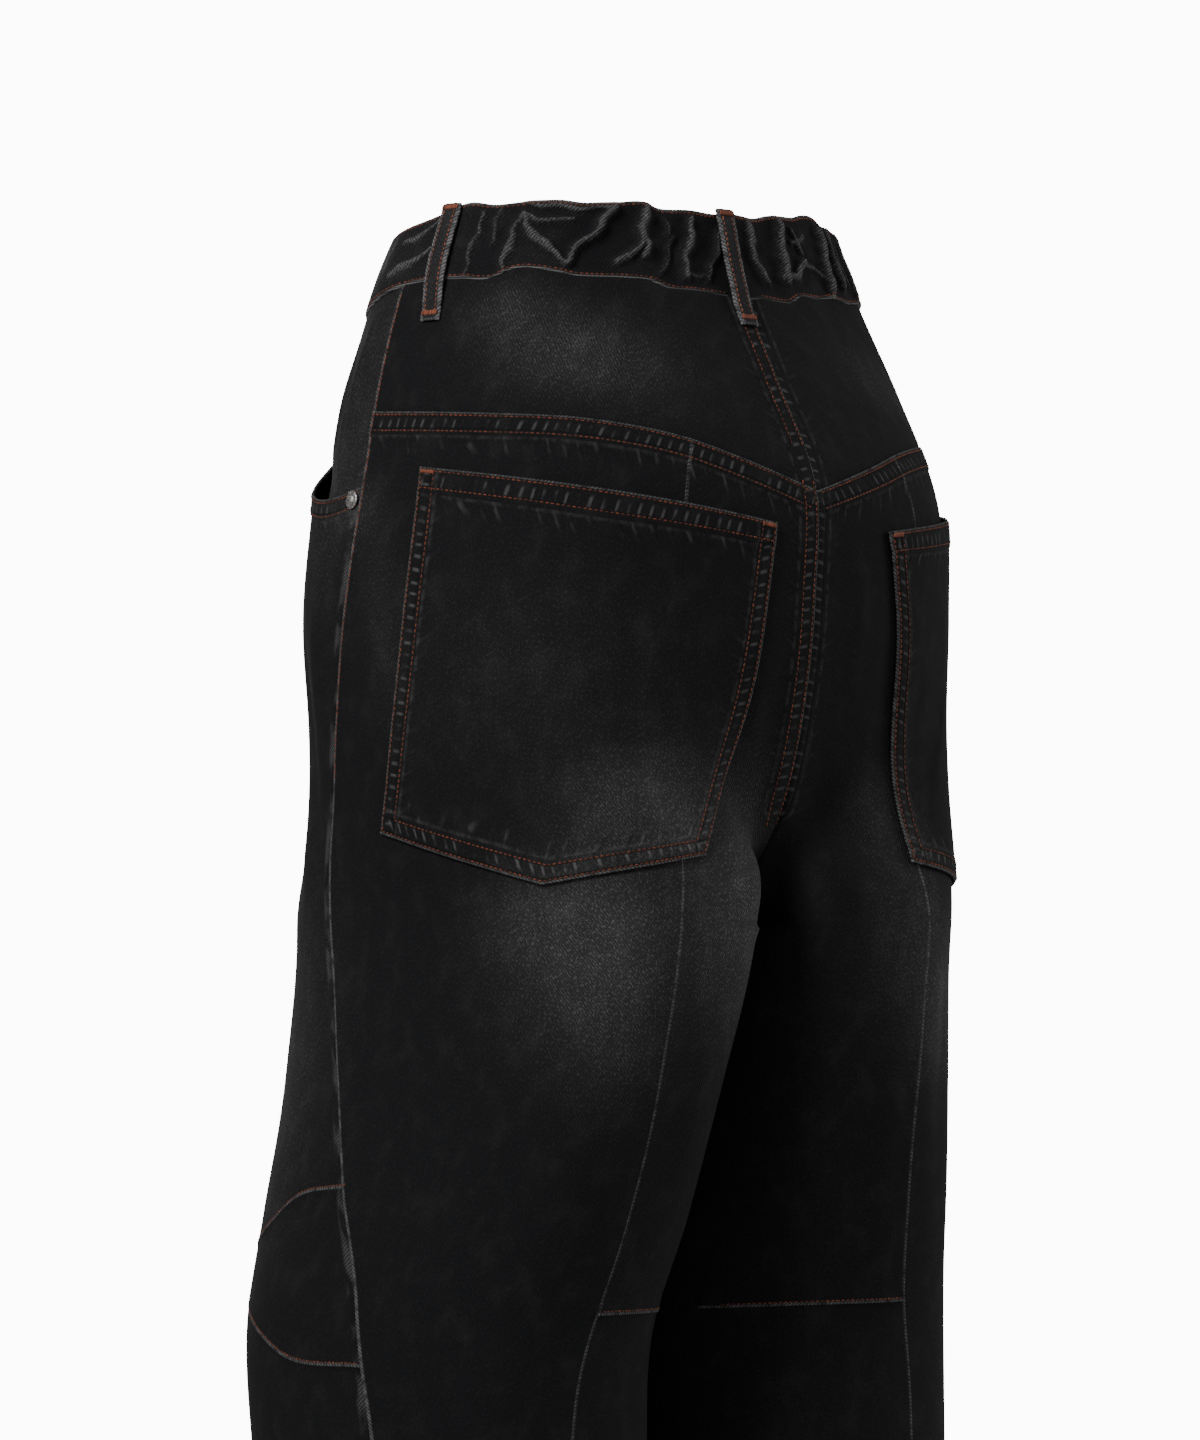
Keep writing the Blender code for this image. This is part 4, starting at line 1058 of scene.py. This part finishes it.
def facingCloth(name, side):
    share, v = np.meshgrid(*[steps(0, 1, facing["size"] / facing[key]) for key in ("width", "high")])
    left = mouthEnd - facing["beyond"] * mm
    z = np.full(share.shape, -90 * mm)
    for _ in range(6):
        a = left + (sideSeam(z) - seam - left) * share
        top = bandBottom(a, side) - 0.5 * mm
        z = top + (mouthLine(np.maximum(a, mouthEnd), side) - facing["below"] * mm - top) * v
    clear = rampMm(4, 24, z - frontTop(a, side)) * (a > mouthEnd)
    lift = (facing["behind"] + (facing["near"] - facing["behind"]) * clear) * mm
    rim = np.minimum(rampMm(0, 8, sideSeam(z) - a), rampMm(0, 14, top - z))
    lift = lift + laidFolds(a, z, side, facing["folds"]) * rim * (0.35 + 0.65 * clear)
    # painted light: the whole facing is made lighter by a set amount, standing in for the light on its folds
    fields = {"fadeAndPaintedLight": fadeAndPaintedLightAt(a, z, side) + facing["paintedLight"], "edgeSide": sideSeam(z) - a}
    return sheetMesh(name, cloth(a, z, lift, side), a, z, fields, side < 0)


def shieldCloth():
    x, z = np.meshgrid(np.array(steps(-18, 18, 2.5)) * mm, np.array(steps(-57, -170, 3)) * mm)
    return sheetMesh("shieldCloth", centreCloth(x, z, -2.2 * mm, -1), x, z, {"fadeAndPaintedLight": 0.1}, False)


facingFinish = denimFinish("facingDenim", (("edgeSide", "v", 0, 0.5, 1.3),))
for word, side in sides:
    dress(facingCloth(f"facingCloth_{word}", side), f"pocket_facing_{word}", facingFinish,
          facing["cut"])
dress(shieldCloth(), "fly_shield", facingFinish, facing["shield"])
print("facings laid")


# belt loops

loop = {
    "width": 11, "thick": 1.6, "size": 0.8, "top": -0.8, "length": 58, "centre": 5.6, "fadeAndPaintedLight": 0.16,
    # how far down from the band's top, height off the cloth
    "course": ((-0.8, 2.3), (3, 2.6), (9, 2.9), (20, 3.1), (32, 3.1), (40, 2.6), (46, 1.5), (51, 0.8),
               (54.5, 0.6), (58, 0.6)),
    # name, side, how far round at the top and at the low end
    "places": (("back_left", 1, 18, 27), ("back_right", -1, 18, 27), ("front_left", 1, -106, -132),
               ("front_right", -1, -106, -132)),
    "cut": {"flat": (0.0135, 0.062), "area": 0.00082},
}
loopOff = curveOf(loop["course"])


def loopPlace(side, topA, lowA, w, down, lift):
    a = (topA + (lowA - topA) * down / loop["length"] + w * loop["width"] / 2) * mm
    z = bandTop(np.array(topA * mm), side) - down * mm
    return cloth(a, z, loopOff(down * mm) + lift, side)


def centreLoopPlace(w, down, lift):
    x = (loop["centre"] + w * loop["width"] / 2) * mm
    z = bandTop(backReach(0.0), 1) - down * mm
    return centreCloth(x, z, np.maximum(loopOff(down * mm), 1.3 * mm) + lift, 1)


def loopCloth(name, place, flip):
    length, half = loop["length"], loop["width"] / 2
    across = [-1, -0.94, -0.86] + steps(-0.76, 0.76, loop["size"] / 6) + [0.86, 0.94, 1]
    along = [loop["top"], -0.4, 0.2] + steps(1, length - 1.6, loop["size"])
    along += [length - k for k in (1, 0.4, 0)]
    w, down = np.meshgrid(across, along)
    near = (1 - np.abs(w)) * half * mm
    end = np.minimum(down - loop["top"], length - down) * mm
    ridge = 0.30 * mm * hump(near - 3.1 * mm, 0.7) + 0.25 * mm * rampMm(1.5, 4.5, near)
    rough = 0.12 * mm * np.sin(down / 1.15 + w * 2.2) * hump(near, 1.8)
    pinch = 0.35 * mm * (np.exp(-((down - 4) / 1.6) ** 2) + np.exp(-((down - 53) / 1.6) ** 2))
    lift = (loop["thick"] - 0.1) * mm + ridge + rough + edgeRoll(near, 0.6, 0.8) + edgeRoll(end, 0.4, 0.8)
    fields = {"edgeSide": near, "edgeEnd": end, "fadeAndPaintedLight": loop["fadeAndPaintedLight"]}
    points = place(w, down, lift - pinch)
    return sheetMesh(name, points, w * half * mm, -down * mm, fields, flip, loop["thick"])


loopFinish = denimFinish("loopDenim", (("edgeSide", "v", 0, 1.9, 2.3), ("edgeEnd", "u", 0, 0.9, 1.2)),
                         base=0.02, twill=1.4)
for word, side, topA, lowA in loop["places"]:
    place = lambda w, down, lift: loopPlace(side, topA, lowA, w, down, lift)
    dress(loopCloth(f"loopCloth_{word}", place, side < 0), f"belt_loop_{word}", loopFinish,
          loop["cut"])
dress(loopCloth("loopCloth_centre", centreLoopPlace, True), "belt_loop_centre", loopFinish,
      loop["cut"])
print("belt loops laid")


# sewing: one short rounded thread for each stitch

thread = {
    "pitch": 2.6, "length": 2.15, "radius": 0.45, "sink": 0.14, "barPitch": 0.62, "barLift": 0.35,
    # place along a stitch, size, drop, as shares
    "rings": ((-1.0, 0.45, -0.55), (-0.62, 1.0, 0.0), (0.62, 1.0, 0.0), (1.0, 0.45, -0.55)),
    "rust": (0.140, 0.039, 0.020, 1), "rustDark": (0.052, 0.018, 0.011, 1),
    "bright": (0.22, 0.066, 0.036, 1), "brightDark": (0.10, 0.033, 0.020, 1),
}


def threadFinish(name, light, dark):
    g = Graph(name)
    fuzz = g.grainNoise(g.node("TexCoord", output="Object"), (1500, 1500, 1500))
    colour = g.mix(g.smooth(g.field("tone") * 0.75 + fuzz * 0.4, 0.15, 0.95), dark, light)
    return g.finish(colour, 0.8, g.bump(0.5, 0.1, fuzz), gloss=0.2)


rustThread = threadFinish("rustThread", thread["rust"], thread["rustDark"])
brightThread = threadFinish("brightThread", thread["bright"], thread["brightDark"])


def picked(values, places, where):             # values, given at places, read where they are wanted
    return np.stack([np.interp(where, places, values[:, k]) for k in range(3)], axis=1)


class Sewing:
    def __init__(self):
        self.stitches = []                     # middles, halves along, ways up

    def row(self, line, place):                # place puts two coordinates and a lift on the cloth
        p, q = line(np.linspace(0, 1, 400))
        points = place(p, q, 0.0)
        ups = place(p, q, 0.5 * mm) - points
        arc = np.concatenate([[0], np.cumsum(np.linalg.norm(np.diff(points, axis=0), axis=1))])
        count = int(arc[-1] / (thread["pitch"] * mm))
        at = (np.arange(count) + 0.5) * arc[-1] / max(count, 1)
        half = thread["length"] * mm / 2
        first, last = picked(points, arc, at - half), picked(points, arc, at + half)
        self.stitches.append(((first + last) / 2, (last - first) / 2, unit(picked(ups, arc, at))))

    def bar(self, line, place, width):
        places = np.arange(60)
        p, q = line(places / 59)
        points = place(p, q, thread["barLift"] * mm)
        up = unit(place(p, q, (thread["barLift"] + 0.5) * mm) - points)
        side = unit(np.cross(up, np.gradient(points, axis=0)))
        count = max(4, int(np.linalg.norm(points[-1] - points[0]) / (thread["barPitch"] * mm)))
        at = np.linspace(0.02, 0.98, count) * 59
        half = width * mm / 2 * (1 + 0.12 * np.sin(np.arange(count) * 2.4)[:, None])
        self.stitches.append((picked(points, places, at), picked(side, places, at) * half,
                              picked(up, places, at)))

    def make(self, name, finish):
        middle, along, up = [np.concatenate(parts) for parts in zip(*self.stitches)]
        half = np.linalg.norm(along, axis=1, keepdims=True)
        way = along / half
        up = unit(up - way * np.sum(up * way, axis=1, keepdims=True))
        across = np.cross(way, up)
        radius = thread["radius"] * mm
        points = []
        for place, size, drop in thread["rings"]:
            centre = middle + along * place + up * (drop * radius - thread["sink"] * mm)
            for angle in np.arange(6) / 6 * 2 * math.pi:
                points.append(centre + (across * math.cos(angle) + up * math.sin(angle)) * radius * size)
        one = [(r + k, r + (k + 1) % 6, r + 6 + (k + 1) % 6, r + 6 + k) for r in (0, 6, 12) for k in range(6)]
        one += [(5, 4, 3, 2, 1, 0), (18, 19, 20, 21, 22, 23)]
        count = len(middle)
        faces = [[24 * n + k for k in face] for n in range(count) for face in one]
        piece = meshPiece(name, np.stack(points, axis=1), faces)
        addField(piece, "tone", np.repeat(np.random.default_rng(count).random(count), 24))
        piece.data.materials.append(finish)
        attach(piece, "root")
        print(f"{name}: {count} stitches")


def straight(first, last):
    return lambda t: (first[0] + (last[0] - first[0]) * t, first[1] + (last[1] - first[1]) * t)


def follow(line, fromA, toA, drop):            # a row a set way under a line that goes round
    return lambda t: ((fromA + (toA - fromA) * t) * mm, line((fromA + (toA - fromA) * t) * mm) - drop * mm)


def beside(line, fromZ, toZ, by):              # a row a set way beside a line that goes down
    return lambda t: (line((fromZ + (toZ - fromZ) * t) * mm) + by * mm, (fromZ + (toZ - fromZ) * t) * mm)


def flyLine(inset):
    def line(t):
        z = (-60 - 110 * t) * mm
        bend = np.sqrt(np.clip(1 - np.clip(t * 1.9 - 0.9, 0, 1) ** 2, 0, 1))
        return -frontReach(z) + (inset * bend + 2) * mm, z
    return line


def onCloth(form, side):
    return lambda a, z, lift: cloth(a, z, form(a, z, side) + lift, side)


def backForm(a, z, side):
    return np.where(a < backSeam(z), outerForm(a, z, side), innerForm(a, z, side))


def sewPockets(rust, bright, word, side):
    def onPocket(u, v, lift):
        a, z = pocketPlace(word, u, v)
        return cloth(a, z, pocketLift(side, u, v, a, z) + lift, side)

    for drop in (1.8, 10.4):
        v = drop / pocket["high"]
        rust.row(straight((0.008, v), (0.992, v)), onPocket)
    for inset in (1.7, 9.0):
        u, v = inset / (pocket["width"] * pocket["slope"]), 1 - inset / pocket["high"]
        corners = ((u, 0.008), (u, v), (tipShare(word), v), (1 - u, v), (1 - u, 0.008))
        for first, last in zip(corners, corners[1:]):
            rust.row(straight(first, last), onPocket)
    for first in (0.010, 0.950):
        bright.bar(straight((first, 0.012), (first + 0.040, 0.012)), onPocket, 2.0)


def sewLoop(bright, surface):
    onLoop = lambda w, down, lift: surface(w, down, (loop["thick"] + 0.05) * mm + lift)
    for w in (-0.52, 0.52):
        bright.row(straight((w, 3.0), (w, 54.5)), onLoop)
    for down in (1.4, 54.4):
        bright.bar(straight((-0.78, down), (0.78, down)), onLoop, 2.6)


for word, side in sides:
    rust, bright = Sewing(), Sewing()
    onBack, onYoke, onFront = [onCloth(form, side) for form in (backForm, yokeForm, frontForm)]
    onBandBack = lambda a, z, lift: centreCloth(side * (backReach(z) - a), z, bandForm(a, z, side) + lift, 1)
    onBandFront = lambda a, z, lift: cloth(a, z, bandForm(a, z, side) + lift, side, folded=False)

    for drop in (1.7, 9.4):                    # yoke seam
        rust.row(follow(backTop, 0.8, 247, drop), onBack)
    if side > 0:                               # felled seam behind
        top = float(bandBottom(np.array(160 * mm), 1)) / mm - 2
        for inset in (1.7, 8.5):
            rust.row(beside(backReach, top, -117, -inset), onYoke)
            rust.row(beside(backReach, -134, -300, -inset), onBack)
    rust.row(beside(sideSeam, -42, -99, 1.8), onYoke)
    rust.row(beside(sideSeam, -101, -277, 1.8), onBack)
    for drop in (1.8, 8.5):                    # mouth of the hand pocket
        rust.row(follow(lambda a: frontTop(a, side), front["mouthEnd"], -3, drop), onFront)
    for line, start, reach in ((upperLine, upperFrom, 96), (lowerLine, lowerFrom, 104)):
        rust.row(follow(line, start / mm - 1.5, start / mm - 1.5 - reach, -1.7), onFront)
    rust.row(follow(backDartLine, backDartFrom / mm + 2, backDartFrom / mm + 98, -1.7), onBack)
    hemZ = (bottom + 26) * mm
    rust.row(follow(level(bottom + 26), -frontReach(hemZ) / mm, 0, 0), onFront)
    rust.row(follow(level(bottom + 26), 0, backReach(hemZ) / mm, 0), onBack)
    if side > 0:
        for inset in (32, 38):
            rust.row(flyLine(inset), onFront)
    sewPockets(rust, bright, word, side)
    for edge, drop in ((bandTop, 1.8), (bandBottom, -1.8)):
        reach = float(backReach(-20 * mm)) / mm
        rust.row(follow(lambda a: edge(a - 0.5 * mm, side), 0.5, reach + 0.5, drop), onBandBack)
        reach = float(frontReach(-30 * mm)) / mm
        rust.row(follow(lambda a: edge(a + 1 * mm, side), -1, -reach - 1, drop), onBandFront)
    for name, only, topA, lowA in loop["places"]:
        if only == side:
            sewLoop(bright, lambda w, down, lift: loopPlace(side, topA, lowA, w, down, lift))
    if side > 0:
        sewLoop(bright, centreLoopPlace)
    rust.make(f"rustStitches_{word}", rustThread)
    bright.make(f"barTacks_{word}", brightThread)
print("sewing done")


# rivets and button: each ring has its radius and height

metal = {
    "seat": 0.45, "colour": (0.46, 0.45, 0.43, 1), "dark": (0.10, 0.095, 0.09, 1),
    "rivet": ((4.5, 0.55), (4.2, 0.85), (3.87, 1.05), (2.5, 1.05), (2.2, 1.15), (1.7, 1.45),
              (1.35, 1.75), (0.6, 1.85)),
    "button": ((3.0, 1.5), (8.3, 1.8), (8.5, 2.2), (8.4, 2.9), (7.9, 3.35), (7.3, 3.4), (6.5, 2.9),
               (2.6, 2.8), (1.2, 3.0)),
    "buttonLevel": -34, "buttonSeat": 1.8,
}


def metalFinish():
    g = Graph("agedNickel")
    place = g.node("TexCoord", output="Object")
    spots = g.grainNoise(place, (900, 900, 900), 4.0, 0.6)
    scuff = g.grainNoise(place, (2600, 700, 2600))
    colour = g.mix(g.smooth(spots, 0.38, 0.62), metal["dark"], metal["colour"])
    return g.finish(colour, 0.34 + scuff * 0.25, g.bump(0.35, 0.1, spots * 0.7 + scuff * 0.3), metallic=1.0)


nickel = metalFinish()


def dome(name, rings, place, outward, node):
    at, height = rings[0]
    bpy.ops.object.select_all(action="DESELECT")
    bpy.ops.mesh.primitive_cylinder_add(vertices=40, radius=at * mm, depth=height * mm,
                                        location=(0, 0, height * mm / 2))
    piece = bpy.context.object
    piece.name = name
    bpy.ops.object.mode_set(mode="EDIT")
    bpy.ops.mesh.select_mode(type="FACE")
    bpy.ops.mesh.select_all(action="DESELECT")
    mesh = bmesh.from_edit_mesh(piece.data)
    for face in mesh.faces:
        face.select = face.normal.z > 0.9
    bmesh.update_edit_mesh(piece.data)
    for reach, up in rings[1:]:
        bpy.ops.mesh.extrude_region_move(TRANSFORM_OT_translate={"value": (0, 0, (up - height) * mm)})
        bpy.ops.transform.resize(value=(reach / at, reach / at, 1), center_override=(0, 0, up * mm))
        at, height = reach, up
    bpy.ops.mesh.select_all(action="DESELECT")
    bpy.ops.object.mode_set(mode="OBJECT")
    bevel = piece.modifiers.new("softened", "BEVEL")
    bevel.width = 0.12 * mm
    bevel.segments = 2
    bevel.limit_method = "ANGLE"
    bevel.angle_limit = math.radians(25)
    applyAll(piece)
    piece.data.shade_smooth()
    turn = Vector((0, 0, 1)).rotation_difference(Vector(outward)).to_matrix().to_4x4()
    turn.translation = Vector(place)
    piece.data.transform(turn)
    piece.data.materials.append(nickel)
    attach(piece, "root")
    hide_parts(node)


def outwardAt(a, z, side):
    return unit(read(bodyNormals, shareOf(a, z), z) * (side, 1, 1))


for word, side in sides:
    for part, a, z in (("side", -6.5 * mm, -143.5 * mm), ("front", -115 * mm, -64 * mm)):
        a, z = np.array(a), np.array(z)
        place = cloth(a, z, mouthForm(a, z, side) + metal["seat"] * mm, side)
        dome(f"rivetHead_{part}_{word}", metal["rivet"], place, outwardAt(a, z, side),
             f"rivet_{part}_{word}")

buttonZ = np.array(metal["buttonLevel"] * mm)
place = centreCloth(0.0, buttonZ, metal["buttonSeat"] * mm, -1)
faceOut = unit(outwardAt(-frontReach(buttonZ), buttonZ, 1) * (0, 1, 1))
dome("buttonHead", metal["button"], place, faceOut, "waist_button")
print("metal set")


# floor, lights and camera; a light has its place, size, watts and spread, and the height it aims at

studio = {
    "floor": -1.016, "distance": 3.0, "azimuth": 42, "eye": -0.389, "aim": -0.244, "lens": 150,
    "wall": 12, "fill": 0.37,
    "lights": {"key": (2.6, 0.7, 1.3, 1.1, 11.5, 62, -0.05), "rim": (-2.3, 0.9, 0.4, 0.9, 7, 90, -0.3),
               "front": (-1.3, -2.7, 0.9, 1.0, 12, 120, -0.4)},
}


def floorFinish():
    g = Graph("paleFloor")
    tone = g.grainNoise(g.node("TexCoord", output="Object"), (3, 3, 3))
    return g.finish(g.mix(tone, (0.86, 0.86, 0.86, 1), (0.90, 0.90, 0.90, 1)), 0.9)


bpy.ops.object.select_all(action="DESELECT")
bpy.ops.mesh.primitive_circle_add(vertices=96, radius=4.6, fill_type="NGON",
                                  location=(0, 0, studio["floor"]))
floorPiece = bpy.context.object
floorPiece.name = "paleFloorPiece"
floorPiece.data.materials.append(floorFinish())

world = bpy.data.worlds.new("studioWorld")
bpy.context.scene.world = world
world.use_nodes = True
sky = world.node_tree
mixed = sky.nodes.new("ShaderNodeMixShader")   # the camera sees a white wall, the cloth a soft fill
rays = sky.nodes.new("ShaderNodeLightPath")
sky.links.new(rays.outputs["Is Camera Ray"], mixed.inputs["Fac"])
wall, fill = sky.nodes["Background"], sky.nodes.new("ShaderNodeBackground")
for place, light, strength in ((1, fill, studio["fill"]), (2, wall, studio["wall"])):
    light.inputs["Color"].default_value = (1, 1, 1, 1)
    light.inputs["Strength"].default_value = strength
    sky.links.new(light.outputs[0], mixed.inputs[place])
sky.links.new(mixed.outputs[0], sky.nodes["World Output"].inputs["Surface"])


def aimed(name, data, x, y, z, aim):
    made = bpy.data.objects.new(name, data)
    made.location = (x, y, z)
    made.rotation_euler = Vector((-x, -y, aim - z)).to_track_quat("-Z", "Y").to_euler()
    bpy.context.scene.collection.objects.link(made)
    return made


for name, (x, y, z, size, watts, spreadOut, aim) in studio["lights"].items():
    lamp = bpy.data.lights.new(name + "Light", "AREA")
    lamp.shape = "DISK"
    lamp.size = size
    lamp.energy = watts
    lamp.spread = math.radians(spreadOut)
    aimed(name + "Light", lamp, x, y, z, aim)

lens = bpy.data.cameras.new("photoCamera")
lens.lens = studio["lens"]
lens.sensor_width = 36
lens.clip_end = 100
turned = math.radians(studio["azimuth"])
x, y = math.sin(turned) * studio["distance"], math.cos(turned) * studio["distance"]
bpy.context.scene.camera = aimed("photoCamera", lens, x, y, studio["eye"], studio["aim"])
print("studio set")
